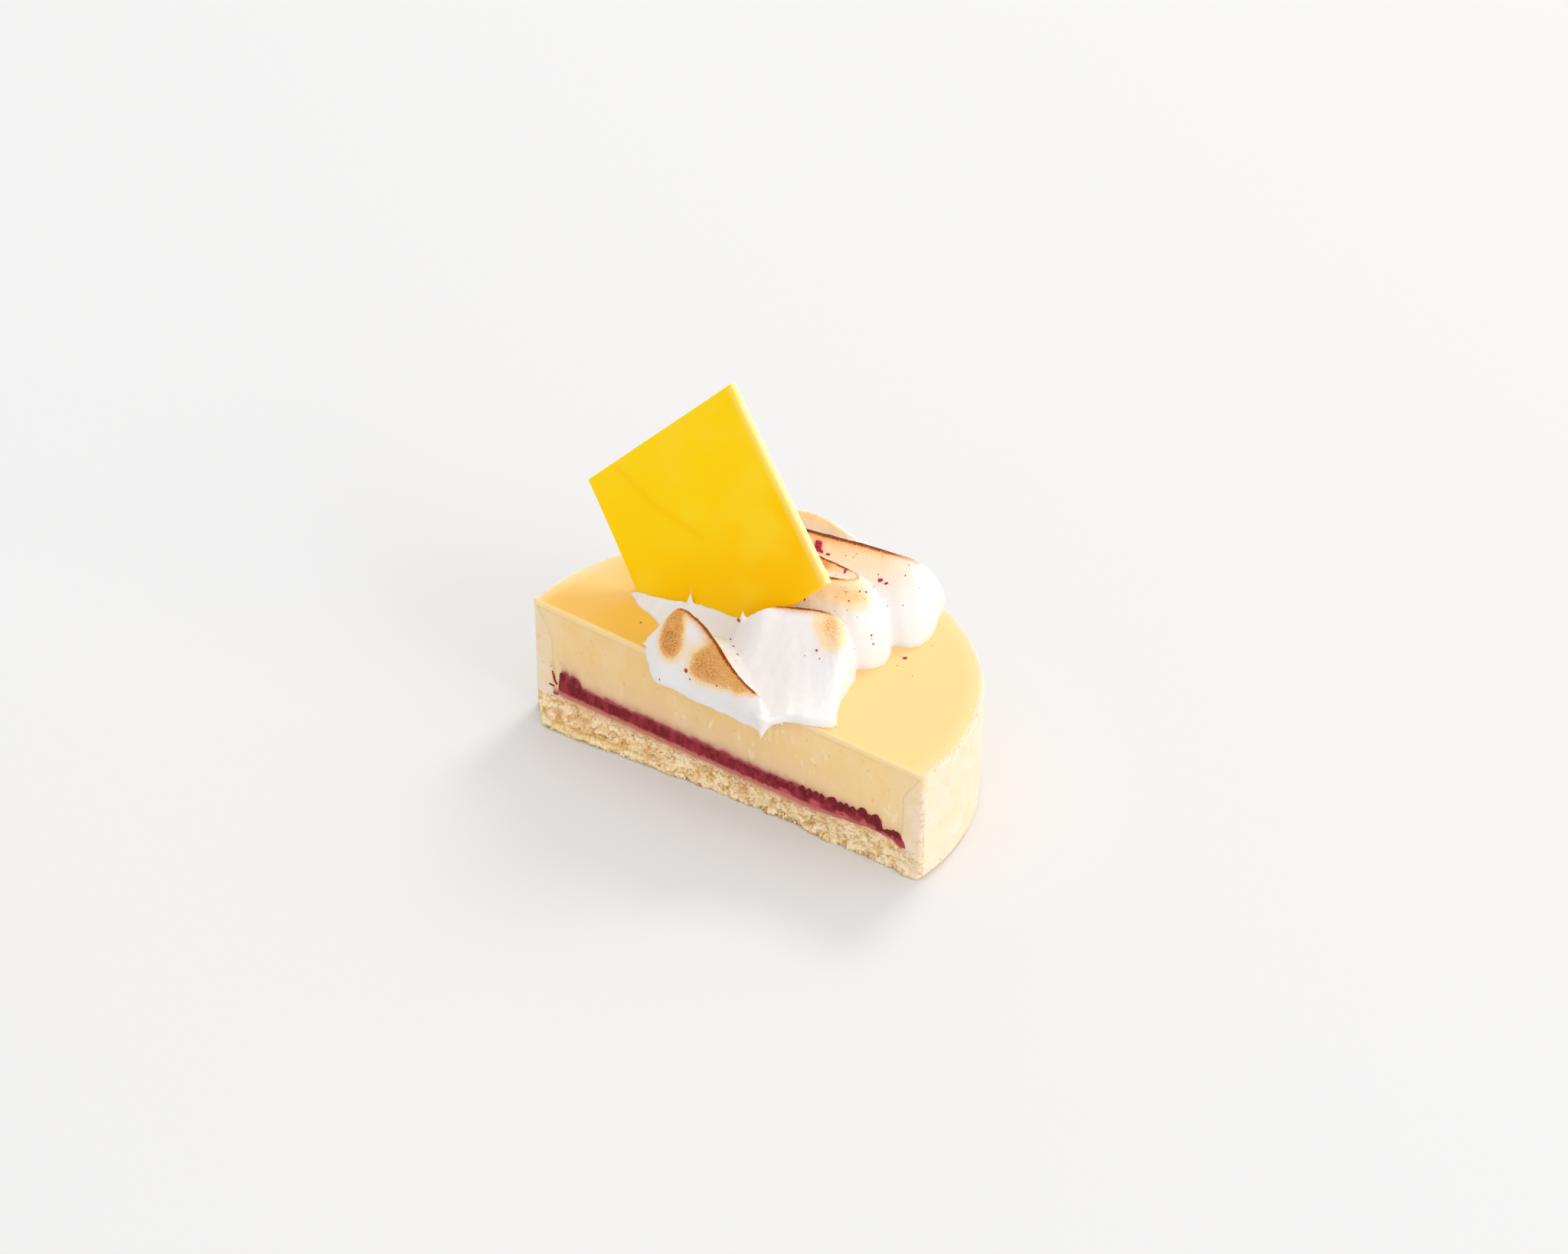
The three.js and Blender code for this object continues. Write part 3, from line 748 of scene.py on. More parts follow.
def makeBeads(finish):
    cut = tart["cut"]
    lumps = [makeTongue()]
    for i, (at, top, broad) in enumerate(berries["teeth"]):
        growth = 0.85 + 0.15 * ease(np.array(at), 8, 30)
        size = np.array(berries["tooth"]) * growth * (broad, 1, random.uniform(0.95, 1.1))
        p, f = pebble(0.09, i, 3)
        p = p * 2
        taper = 1.2 - 0.5 * ease(p[:, 2], -0.6, 1)
        p = p * stack(taper, taper, 1) * size
        p[:, 0] += random.uniform(-0.05, 0.2) * p[:, 2]
        lumps.append((p + (at, cut + 0.26, top - size[2]), f))
    for at, z, wide, tall in berries["drupelets"]:
        p, f = pebble(0.12, int(at * 3) % 97, 3)
        lumps.append((p * 2 * (wide, 0.5, tall) + (at, cut + 0.33, z), f))
    for at, z, long, wide, lean in berries["flakes"]:
        p, f = pebble(0.3, int(z * 7), 3)
        p = p * (wide, 0.3, long)
        p[:, 0] += lean * p[:, 2]
        lumps.append((p + (at, cut - 0.04, z), f))
    mesh = gathered("raspberryBeads", lumps)
    p = pointsOf(mesh)
    x, _, z = p.T
    lump = 0.22 + 0.3 * ripple(p, 0.9, 93, 2) + 0.5 * ease(-x, 41.4, 41.8)
    paint(mesh, flesh=0.6 * ease(x, 39.5, 42.5) * ease(-z, -8.4, -7.2), lump=np.clip(lump, 0, 1),
          edge=0 * x, soaked=0 * x)
    return addPiece("raspberryBeads", mesh, finish)


# custard

custard = {
    "columns": 380,
    "rows": 66,
    "wave": 0.1,  # mm, how uneven its cut face is
    "drag": 0.05,  # mm, what the knife left
    "bubbles": 90,
    "bubble": (0.12, 0.38),  # radius
    "bubbleField": (-42, 42, 11, 23.5),  # from and to, along and up
    "strokes": 50,  # pale marks that the knife left
    "strokeField": ((9, 12), (18, 3)),  # middle and spread, along and up
    "shreds": 7,  # of the marks, how many lie beside the tongue
    "shredField": ((40, 1.2), (11.8, 1)),
    "proud": 0.14,  # mm, how far a mark stands out
    "behind": 0.06,  # mm, how far its edges lie behind the glaze's and the wall's
    "palesFrom": 4.5,  # mm from the wall, where its sides start to pale
}


def scattered(field):  # a random place, from the middle and spread along and up
    return np.array([random.gauss(*field[0]), random.gauss(*field[1])])


def strokeOn(p, at, wander):  # how much of one short mark each point has
    heading, long, wide = random.uniform(1.1, 2.2), random.uniform(0.3, 1.4), random.uniform(0.16, 0.34)
    way = long * np.array([math.cos(heading), math.sin(heading)])
    away = p[:, [0, 2]] + wander - at
    share = np.clip(away @ way / long ** 2, 0, 1)
    gap = np.linalg.norm(away - share[:, None] * way, axis=1)
    return random.uniform(0.3, 1) * np.exp(-(gap / wide) ** 2)


def makeCustard(finish):
    mesh = slab("lemonCustard", custard["columns"], custard["rows"], lambda x: berryHeight(x) - 0.5,
                lambda x: settled(x, tart["height"] - tart["glaze"] + 0.05),
                lambda z: cutX(innerRadius(z)) + 0.05, innerRadius(tart["base"]))
    p = pointsOf(mesh)
    x, y, z = p.T
    onCut = atCut(y, 0.1)
    out = custard["wave"] * ripple(p, (9, 9, 6), 101, 2) + custard["drag"] * ripple(p, (0.9, 1, 5.5), 103, 2)
    mark = 0 * x
    wander = 0.3 * stack(ripple(p, 1.3, 105), ripple(p, 1.3, 106))
    for i in range(custard["strokes"]):
        at = scattered(custard["strokeField"])
        if i < custard["shreds"]:
            at = scattered(custard["shredField"])
        mark = np.maximum(mark, strokeOn(p, at, wander))
    out += custard["proud"] * mark
    hollow = 0 * x
    left, right, low, high = custard["bubbleField"]
    for _ in range(custard["bubbles"]):
        at, level = random.uniform(left, right), random.uniform(low, high)
        radius = random.uniform(*custard["bubble"]) * random.uniform(0.5, 1)
        gap = np.hypot(x - at, (z - level) * random.uniform(0.6, 1))
        dent = np.sqrt(np.clip(1 - (gap / radius) ** 2, 0, 1))
        hollow = np.maximum(hollow, dent)
        out -= 0.4 * radius * dent
    under = ease(z - settled(x, tart["height"]), -2.4, -1)
    beside = ease(np.abs(x) - cutX(innerRadius(unsettled(x, z))), -0.5, -0.1)
    behind = custard["behind"] * np.maximum(under, 0.2 * beside)
    p[:, 1] += onCut * (behind - out * (1 - under) * (1 - beside))
    movePoints(mesh, p)
    above = np.clip(z - berryHeight(x) + 0.3 * ripple(p, 1.1, 109, 2), 0, 9)
    inside = cutX(innerRadius(tart["base"]))
    # bubble: painted shade in the bubble dents
    paint(mesh, bubble=hollow * onCut, stain=np.exp(-above / 0.8) * onCut, mark=mark * onCut,
          side=ease(np.abs(x), inside - custard["palesFrom"], inside))
    return addPiece("lemonCustard", mesh, finish, ["lemon_custard"], crease=60)


# glaze

glaze = {
    "columns": 420,
    "rows": 110,
    "edgeRows": (0, 0.03, 0.07, 0.13, 0.2, 0.3, 0.45, 0.7, 1.1),  # mm from the edge
    "round": 0.4,  # mm, how soft its edge is
    "over": 0.35,  # mm, how far it runs on to the rim
    "proud": 0.03,  # mm in front of the cut
    "waves": [(14, 0.03, 121), (4, 0.012, 122)],  # how long, how high, seed
    "rimHighlight": 3.4,  # mm from the rim, over which its painted highlight fades
}


def makeGlaze(finish):
    radius, cut = tart["ring"] - tart["rim"] + glaze["over"], tart["cut"] - glaze["proud"]
    x = radius * np.cos(np.linspace(math.pi, 0, glaze["columns"] + 1))
    x[0], x[-1] = -radius * 0.99999, radius * 0.99999
    back = np.sqrt(radius ** 2 - x ** 2)
    front = np.maximum(-back, cut)
    t = closeAtEnds(np.array(glaze["edgeRows"]) / (radius - cut), glaze["rows"])
    y = front[:, None] + (back - front)[:, None] * t
    edge = np.minimum(radius - np.hypot(x[:, None], y), y - cut)
    drop = glaze["round"] * (1 - fullness(edge, glaze["round"]))
    flat = stack(x[:, None], y, 0 * y)
    top = tart["height"] + 0.02 - drop
    for size, high, seed in glaze["waves"]:
        top = top + high * ripple(flat, size, seed)
    low = tart["height"] - tart["glaze"] - 0.1
    rings = [stack(x, front, low)[:, None], stack(x[:, None], y, top), stack(x, back, low)[:, None]]
    points, faces = loft(np.concatenate(rings, 1))
    points[:, 2] = settled(points[:, 0], points[:, 2])
    mesh = tidied(meshOf("lemonGlaze", points, faces), split=False)
    x, y, _ = pointsOf(mesh).T
    fromRim = tart["ring"] - tart["rim"] - np.hypot(x, y) + 0.4 * ripple(stack(x, y, 0), 5, 124)
    # rim and front: painted highlights along the rim and along the cut's front edge
    paint(mesh, rim=1 - ease(fromRim, 0, glaze["rimHighlight"]), front=1 - ease(y - cut, 0.15, 0.9))
    return addPiece("lemonGlaze", mesh, finish, ["lemon_glaze"], crease=40)


# meringue

meringue = {
    "stations": 90,
    "points": 16,  # up a petal's front, and down its back
    "voxel": 0.3,
    "smooth": (0.5, 3),  # how much, and how often
    "tuck": 6,  # under a foot that hangs over the cut
    "drop": 0.6,
    "sink": 3,
    "wave": 0.06,  # mm, how uneven it is
    "hem": 0.3,  # how much a petal's lower edge wanders
}

# each petal: the foot of its front, its crest and the foot of its back, as x, y and height over the top
petals = [
    {  # the low start of the wave, against the chocolate
        "front": [(-33.6, 8.3, 0), (-29, 5.9, 0), (-24.8, 4.7, 0), (-20, 2.4, 0),
                  (-14, -0.5, 0), (-8, -2, 0)],
        "crest": [(-32.6, 8.8, 0.6), (-28, 8, 1.8), (-23, 8.4, 2.8), (-17.2, 9.2, 3.9),
                  (-10.5, 9.9, 4.7), (-3, 10.8, 6.2)],
        "back": [(-33, 9.6, 0), (-28, 11, 0), (-22, 12, 0), (-16, 12.5, 0), (-9, 13, 0),
                 (-2, 13.5, 0)],
        "frontHollow": 0.3,
        "backHollow": 0,
        "lip": 0.3,
    },
    {  # the first petal, which hangs over the cut
        "front": [(-19.7, -3.6, -0.4), (-17, -7, -2), (-13.8, -8.8, -3.1), (-8.4, -9.1, -3.1),
                  (-2.9, -9.2, -3.3), (2, -9.2, -2.9), (7.8, -9.4, -3.1), (12.6, -9.2, -3.4)],
        "crest": [(-18, -2.8, 2.4), (-14.4, -3.6, 9), (-11.4, -3.5, 12.2), (-6.8, -3.9, 11.9),
                  (-2, -5.2, 10.3), (3, -7.3, 8.3), (8, -8.6, 6.5), (11.6, -8.6, 5)],
        "back": [(-17.5, 0, 0), (-14.5, 3, 0.5), (-10, 5.5, 1.5), (-4, 6, 2), (1, 5, 1.6),
                 (6, 2.5, 0.6), (11, -2, -0.5), (15, -5.5, -1)],
        "frontHollow": -0.8,
        "backHollow": 1.6,
        "lip": 1.4,
    },
    {  # the second petal: one wide hollow face and a round shoulder
        "front": [(-7, 0, 0), (1, -5, 0), (7.5, -8, -1), (13.2, -8.7, -1.4), (17, -6.8, -0.1),
                  (21.2, -5.6, 0), (24.8, -2.8, 0), (22.6, 1.4, 0), (20.9, 4.6, 0),
                  (20, 8.5, 0), (18.9, 12, 0), (17.4, 14.8, 0)],
        "crest": [(-4, 6.5, 7.5), (0.6, 7.8, 11.4), (2.9, 9.5, 12), (4.8, 10.4, 12.2),
                  (6.6, 11.2, 12.3), (8.4, 12.2, 12.3), (10.4, 13.3, 12.1), (12, 14.1, 11.6),
                  (13.2, 14.6, 10.8), (14.2, 14.9, 9.6), (15, 15.1, 7.6), (15.6, 15.6, 4.5)],
        "back": [(-5, 9.5, 1), (0, 12.5, 4), (2, 14, 5), (4, 15, 5), (6, 16, 5), (8, 17, 5),
                 (10, 18, 4), (11, 18.5, 3), (12, 18.5, 3), (13, 18, 2), (14, 18, 1),
                 (14.5, 17.5, 0)],
        "frontHollow": [1.2, 2.2, 2.8, 2.8, 2.8, 2.4, 1.2, -0.6, -2, -2.6, -2.2, -1],
        "backHollow": 0,
        "lip": 2,
    },
    {  # the third petal, with a round end and a pocket in its top
        "front": [(-11.6, 20, 0), (-10.4, 16.8, 0), (-7, 15.4, 0), (-1, 15.5, 0), (6, 15, 0),
                  (12, 14.4, 0), (17.2, 15.4, 0), (19.4, 17.4, 0), (20.4, 20.4, 0),
                  (19.2, 23.8, 0), (17, 26.6, 0)],
        "crest": [(-12, 22, 5), (-10.6, 22, 12), (-7.6, 22, 16), (-2.5, 22.4, 17),
                  (2.6, 22.9, 16.5), (4.8, 23.4, 16), (7.1, 23.9, 15.5), (9.7, 24.5, 14.8),
                  (11.8, 25.2, 13.8), (13.4, 25.6, 12.4), (15.2, 26.2, 9.4)],
        "back": [(-11.6, 24, 0), (-10.4, 26.4, 2), (-7, 28, 5), (-2, 28.5, 6), (2, 29, 6),
                 (5, 29.3, 6), (8, 29.6, 5), (11, 29.8, 4), (13.5, 29.4, 2), (15, 29, 1),
                 (16, 28.4, 0)],
        "frontHollow": [-1, -2, -3, -3, -3, -3, -3, -2.4, -1.8, -1.2, -0.8],
        "backHollow": -1,
        "lip": 1,
    },
    {  # the fourth petal
        "front": [(-16.2, 27.5, 0), (-15, 24.4, 0), (-11, 23, 0), (-5, 23.5, 0), (3, 24.5, 0),
                  (11, 25.2, 0), (17, 25.6, 0), (20.5, 27, 0), (22.3, 29.6, 0), (22.4, 33, 0),
                  (21.4, 36.6, 0.4)],
        "crest": [(-16.6, 29, 5), (-15.4, 28, 12.4), (-12.6, 27, 16.2), (-8.5, 27.1, 17),
                  (-4.5, 28.1, 17), (0, 30, 16.4), (6.8, 32.9, 15.6), (11.7, 34.6, 15),
                  (15.2, 36.3, 14.2), (17, 37.9, 12.6), (18.6, 39.4, 9.2)],
        "back": [(-16, 31, 0), (-15, 32.6, 1), (-12, 34, 3), (-8, 35, 3), (-4, 37, 3),
                 (1, 39.5, 3), (7, 41.5, 2), (12, 43, 1), (15.5, 43.4, 0), (18, 42.8, 0),
                 (19.6, 41.2, 0)],
        "frontHollow": [-0.8, -1.2, -1.6, -1.6, -1.6, -1.6, -1.6, -1.6, -1.2, -0.8, -0.6],
        "backHollow": -1.5,
        "lip": 1,
    },
    {  # the last fold, behind the fourth
        "front": [(-19.4, 31.5, 0), (-17.6, 28.6, 0), (-12.4, 28, 0), (-7, 29.5, 0),
                  (-3, 31, 0), (0, 32, 0), (4, 34, 0), (8, 37, 0), (11, 39, 0)],
        "crest": [(-19.2, 32, 4), (-17.4, 30.6, 11.5), (-13, 30.2, 16.4), (-7.1, 32, 18),
                  (-2.7, 33.3, 17), (0.2, 33.5, 16), (3.1, 33.9, 15.2), (6, 36, 12.5),
                  (9, 38.5, 8)],
        "back": [(-19, 33.5, 0), (-17.6, 35.6, 0), (-13, 38.5, 0), (-7, 41, 0), (-3, 42.5, 0),
                 (0, 43, 0), (4, 43.6, 0), (8, 43.4, 0), (11, 42, 0)],
        "frontHollow": -0.5,
        "backHollow": -2,
        "lip": 1,
    },
]

# points drawn out of the meringue: root, tip, the radius at the root
tips = [
    ((12.4, -8.2, 0.5), (12.3, -9.5, -5.7), 2.2),  # the drip over the cut
    ((-16.5, -3.8, 1.2), (-21.3, -4.3, 0.2), 1.7),
    ((-18.6, 8.6, 2.4), (-18.6, 9.4, 7), 1.1),
    ((21, -3.2, 0.6), (26, -1.9, 0.4), 1.7),
    ((-4, 6.6, 5), (-3.7, 6.3, 10.6), 1.35),
]

pocket = {"centre": (3.4, 21.7, 15.9), "radii": (8.6, 2.4, 2.1), "turn": 14, "dip": 6}  # in the third petal


def lifted(points):  # from heights over the top to heights over the table
    p = np.array(points, float)
    p[..., 2] = settled(p[..., 0], tart["height"] + p[..., 2])
    return p


def petalLines(petal, shares):  # under its front, its front, its crest, its back, and under that
    sink = meringue["sink"]
    under = [(x, y + meringue["tuck"], h - meringue["drop"]) if y < tart["cut"] else (x, y, -sink)
             for x, y, h in petal["front"]]
    sunk = [(x, y, -sink) for x, y, _ in petal["back"]]
    lines = (under, petal["front"], petal["crest"], petal["back"], sunk)
    return [lifted(rail(line, shares)) for line in lines]


def faceOf(foot, crest, hollow, steps):  # points from a foot up to the crest, sagging or bulging
    slope = crest - foot
    run = np.maximum(np.hypot(slope[:, 0], slope[:, 1]), 1e-6)
    inward = unit(stack(slope[:, 0] / run * slope[:, 2], slope[:, 1] / run * slope[:, 2], -run))
    share = np.arange(steps) / steps
    sag = np.multiply.outer(hollow, 4 * share * (1 - share))
    return foot[:, None] + slope[:, None] * share[None, :, None] + inward[:, None] * sag[:, :, None]


def hollowAt(values, shares):  # one value for the whole petal, or some spaced along it
    if np.ndim(values) == 0:
        return values + 0 * shares
    return np.interp(shares, np.linspace(0, 1, len(values)), values)


def petalSurface(petal, shares, steps):  # its rings, and the points up its front, its back and on its crest
    low, front, crest, back, deep = petalLines(petal, shares)
    hem = stack(ripple(front, 2.4, 131), ripple(front, 2.4, 132), 0.7 * ripple(front, 2.0, 133))
    front = front + meringue["hem"] * hem * ease(np.minimum(shares, 1 - shares), 0, 0.1)[:, None]
    edge = front.copy()
    edge[:, 2] += np.minimum(petal["lip"], 0.5 * (crest[:, 2] - front[:, 2]))
    rise = faceOf(edge, crest, hollowAt(petal["frontHollow"], shares), steps)
    fall = faceOf(back, crest, hollowAt(petal["backHollow"], shares), steps)
    lines = [low[:, None], front[:, None], rise, crest[:, None], fall[:, ::-1], deep[:, None]]
    return np.concatenate(lines, 1)[:, ::-1], rise, fall, crest


def coneOf(root, tip, radius):
    root, tip = lifted([root, tip])
    axis = Vector(tip - root)
    turn = np.array(Vector((0, 0, 1)).rotation_difference(axis).to_matrix())
    around = np.linspace(0, 2 * math.pi, 25)[:-1]
    rings = []
    for t in np.linspace(0, 0.97, 12):
        r = radius * ((1 - t) ** 1.35 * 0.85 + 0.15 * (1 - t))
        rings.append(stack(r * np.cos(around), r * np.sin(around), t * axis.length) @ turn.T + root)
    return loft(np.array(rings))


def pocketTurn():
    turn, dip = math.radians(pocket["turn"]), math.radians(pocket["dip"])
    return np.array(Matrix.Rotation(turn, 3, "Z") @ Matrix.Rotation(dip, 3, "Y"))


def scooped(mesh, *modifiers):  # with the pocket taken out of it
    b = bmesh.new()
    turn = Matrix.Translation(lifted(pocket["centre"])) @ Matrix(pocketTurn().tolist()).to_4x4()
    size = Matrix.Diagonal((*pocket["radii"], 1))
    bmesh.ops.create_icosphere(b, subdivisions=5, radius=1, matrix=turn @ size)
    egg = bpy.data.meshes.new("egg")
    b.to_mesh(egg)
    b.free()
    holder = bpy.data.objects.new("egg", egg)
    scene.collection.objects.link(holder)
    difference = {"operation": "DIFFERENCE", "object": holder, "solver": "EXACT"}
    mesh = withModifiers(mesh, ("BOOLEAN", difference), *modifiers)
    bpy.data.objects.remove(holder)
    return mesh


def pocketLining(mesh, p):  # how much each point is of its lining, how far from its edge, and how far back
    away = (p - lifted(pocket["centre"])) @ pocketTurn()
    radii = np.array(pocket["radii"])
    reach = np.linalg.norm(away / radii, axis=1)
    out = np.linalg.norm(away, axis=1) * (1 - 1 / np.maximum(reach, 0.05))
    facing = -np.sum(pointsOf(mesh, "normal") @ pocketTurn() * unit(away / radii ** 2), axis=1)
    lining = ease(facing, -0.2, 0.6) * (1 - ease(out, 0.3, 0.7))
    ends = np.empty(len(mesh.edges) * 2, np.int32)
    mesh.edges.foreach_get("vertices", ends)
    a, b = ends.reshape(-1, 2).T
    edge = (lining[a] > 0.5) != (lining[b] > 0.5)
    _, gap = nearestOf((p[a] + p[b])[edge] / 2, p)
    return lining, gap, away[:, 1]


# where the torch browned it, and painted light on the last fold
toast = {
    "crests": [  # petal, then shares of its crest with how dark it is there, and how wide
        (1, [(0.18, 0), (0.26, 0.6), (0.4, 0.8), (0.55, 0.95), (0.95, 1), (0.99, 0.3)], 0.68),
        (2, [(0.1, 0), (0.16, 0.7), (0.3, 1), (0.5, 0.9), (0.62, 0.6), (0.74, 0)], 0.45),
        (4, [(0.3, 0.8), (0.41, 1), (0.5, 1), (0.62, 1), (0.68, 0.8), (0.76, 0.5), (0.85, 0.3), (0.94, 0)],
         0.62),
    ],
    "creep": 0.25,  # mm from the crest before it starts to fade
    "halo": (0.54, 2.4),  # the faint edge round it on its own petal: strength, and how many times as wide
    "patches": [  # on the first petal, seen along +Y: how brown, then x and height of each corner
        [0.86, (-13.2, 38.6), (-9.8, 38.6), (-8.9, 35.9), (-8.1, 32.7), (-8.4, 30.5), (-9.7, 28.5),
         (-11.8, 28.1), (-13.7, 30), (-14.7, 32.2), (-14.9, 35)],
        [0.74, (-3.6, 34.4), (-1, 36.2), (1.5, 35.8), (5.8, 34.2), (11.4, 31.6), (8, 28.5), (4.3, 27.8),
         (0.9, 27.4), (-2.7, 26.9), (-5.4, 27.3), (-6.1, 29.4), (-5.4, 32)],
    ],
    "glows": [  # petal, centre, reach, strength
        (1, (-11.8, -6.5, 31.2), 3.4, 0.65), (1, (-2.6, -7.5, 30.6), 4.4, 0.65),
        (2, (12.9, 12.9, 36.1), 2.2, 0.4), (2, (13.9, 11.5, 34.8), 3.2, 0.48),
        (2, (15.6, 9.6, 33.6), 2.8, 0.3), (2, (11.2, 11.6, 35.9), 2.6, 0.22),
        (3, (13.2, 20.8, 37.3), 3.0, 0.5), (3, (10.2, 19.6, 38), 3.2, 0.4), (3, (6.8, 18.2, 38.2), 3.2, 0.26),
        (5, (-9, 31.6, 43), 2.6, 0.17), (5, (-6.0, 32.2, 43.1), 2.6, 0.17),
        (5, (-3.0, 33.2, 42.3), 2.4, 0.17), (5, (0, 33.5, 41.3), 2.2, 0.14),
    ],
    "washes": [  # petal, from and to which rise, strength, then shares with how much of it
        # painted light: a warm tint on the last fold's front, where light shines through the thin meringue
        (5, 0.3, 1.0, 0.11, [(0.3, 1), (0.8, 1)]),
        (4, 0.2, 1.0, 0.34, [(0.3, 1), (0.62, 0.9), (0.74, 0.6), (0.84, 0.1), (0.9, 0)]),
        (3, 0.74, 0.98, 0.2, [(0.3, 1), (0.75, 1), (0.85, 0)]),
        (1, 0.9, 1.0, 0.5, [(0.2, 0), (0.3, 1), (0.9, 1), (1, 0)]),
    ],
    "pocket": 0.4,  # mm, how wide the dark line round the pocket is
}


def insideOf(points, outline):  # how far inside a closed outline each point lies, in its plane
    x, y = points.T
    gap = np.full(len(x), 1e9)
    within = np.zeros(len(x), bool)
    for (ax, ay), (bx, by) in closed(outline):
        dx, dy = bx - ax, by - ay
        share = np.clip(((x - ax) * dx + (y - ay) * dy) / (dx * dx + dy * dy), 0, 1)
        gap = np.minimum(gap, np.hypot(x - ax - share * dx, y - ay - share * dy))
        crossed = (ay > y) != (by > y)
        within ^= crossed & (x < ax + (y - ay) * dx / np.where(dy == 0, 1e-9, dy))
    return np.where(within, gap, -gap)


def rounded(outline, times=2):  # its corners cut off, that many times
    for _ in range(times):
        outline = [tuple(s * a + (1 - s) * b for a, b in zip(*side)) for side in closed(outline)
                   for s in (0.75, 0.25)]
    return outline


def burntCrests(p, number, crests, wobble):
    weak, wider = toast["halo"]
    dark = np.zeros(len(p))
    for petal, stops, width in toast["crests"]:
        shares, line = crests[petal]
        nearest, gap = nearestOf(line, p)
        strength = np.interp(shares[nearest], *zip(*stops))
        gap = np.maximum(gap - toast["creep"], 0)
        burnt = np.exp(-(gap / (width * (1 + 0.3 * wobble))) ** 2)
        halo = weak * (number == petal) * np.exp(-gap / (wider * width))
        dark = np.maximum(dark, strength * np.maximum(burnt, halo))
    return dark


def browned(p, number, side, share, rise, wobble):  # how brown the torch left it away from the crests, with the painted light on the last fold's front
    plain = np.ones(len(p))
    front = (number == 1) * (side == 0)
    for strength, *outline in toast["patches"]:
        depth = insideOf(p[:, [0, 2]] + 0.35 * stack(wobble, ripple(p, 1.6, 144)), rounded(outline))
        plain *= 1 - strength * front * ease(depth, -1.0, 1.7)
    for petal, centre, reach, strength in toast["glows"]:
        gap = np.linalg.norm(p - centre, axis=1) / reach
        plain *= 1 - strength * np.exp(-1.3 * gap ** 2) * (1 + 0.15 * wobble) * (number == petal)
    for petal, start, full, strength, stops in toast["washes"]:
        wash = strength * ease(rise, start, full) * np.interp(share, *zip(*stops)) * (1 + 0.15 * wobble)
        plain *= 1 - wash * (number == petal) * (side == 0)
    return 1 - plain


def makeMeringue(finish):
    shares = np.linspace(0, 1, meringue["stations"] + 1)
    lumps, skin, marks, crests = [], [], [], []
    for number, petal in enumerate(petals):
        rings, rise, fall, crest = petalSurface(petal, shares, meringue["points"])
        lumps.append(loft(rings))
        crests.append((shares, crest))
        for side, grid in enumerate((rise, fall)):
            steps = np.arange(grid.shape[1]) / grid.shape[1]
            skin.append(grid.reshape(-1, 3))
            marks.append(stack(number, side, shares[:, None], steps).reshape(-1, 4))
    lumps += [coneOf(*tip) for tip in tips]
    voxels = ("REMESH", {"mode": "VOXEL", "voxel_size": meringue["voxel"]})
    factor, times = meringue["smooth"]
    mesh = withModifiers(gathered("toastedMeringue", lumps), voxels)
    mesh = scooped(mesh, voxels, ("SMOOTH", {"factor": factor, "iterations": times}))

    p = pointsOf(mesh)
    found, _ = nearestOf(np.vstack(skin), p)
    number, side, share, rise = np.vstack(marks)[found].T
    top = settled(p[:, 0], tart["height"])
    free = ease(p[:, 2], top - 6, top - 5)
    streaks = ripple(p, 1.6, 141, 2) + 0.5 * ripple(p, 0.7, 142)
    p = p + pointsOf(mesh, "normal") * (free * meringue["wave"] * streaks)[:, None]
    movePoints(mesh, p)

    wobble = 0.5 * ripple(p, 1.2, 143, 2)
    brown = browned(p, number, side, share, rise, wobble)
    inside, gap, behind = pocketLining(mesh, p)
    x = p[:, 0]
    ring = np.exp(-(gap / toast["pocket"]) ** 2) * ease(x, -4, -1) * (0.8 + 0.2 * ease(behind, -0.6, 0.6))
    dark = burntCrests(p, number, crests, wobble)
    dark = np.maximum(dark * (1 - inside), ring * (1 - 0.5 * ease(x, 7.5, 10.5)))
    lining = inside * (0.15 + 0.6 * ease(behind, 0, 1.5)) * (1 - ease(x, 3, 8))
    # brown also carries the painted light on the last fold's front
    paint(mesh, dark=np.clip(dark, 0, 1), brown=np.clip(brown * (1 - inside) + lining, 0, 1), inside=inside)
    return addPiece("toastedMeringue", mesh, finish, ["meringue"])


# chocolate

chocolate = {
    "side": 43,
    "thickness": 1.8,
    "flare": 1.7,
    "centre": (-18.8, 13.9, 43.75),
    "turn": -2.5,
    "lean": 17.5,
    "spin": 45.6,
    "round": 0.3,
    "steps": 110,
    "edgeRows": (0, 0.03, 0.08, 0.16, 0.3, 0.5, 0.8),  # mm from the edge
    "bow": 0.35,
    "trim": (0.7, -0.3),  # its top corner is out of square by this
    "sunk": 0.4,
    "waves": [(16, 0.05, 151), (3, 0.015, 152)],  # how long, how high, seed
    "fold": [(-13.4, 20), (-11.1, 15.4), (-9.2, 10.4), (-6.1, 5.8), (-3, 1.5), (-1.1, -0.9)],  # across it
    "foldSize": (0.75, 0.02),  # mm, how wide and how deep
}


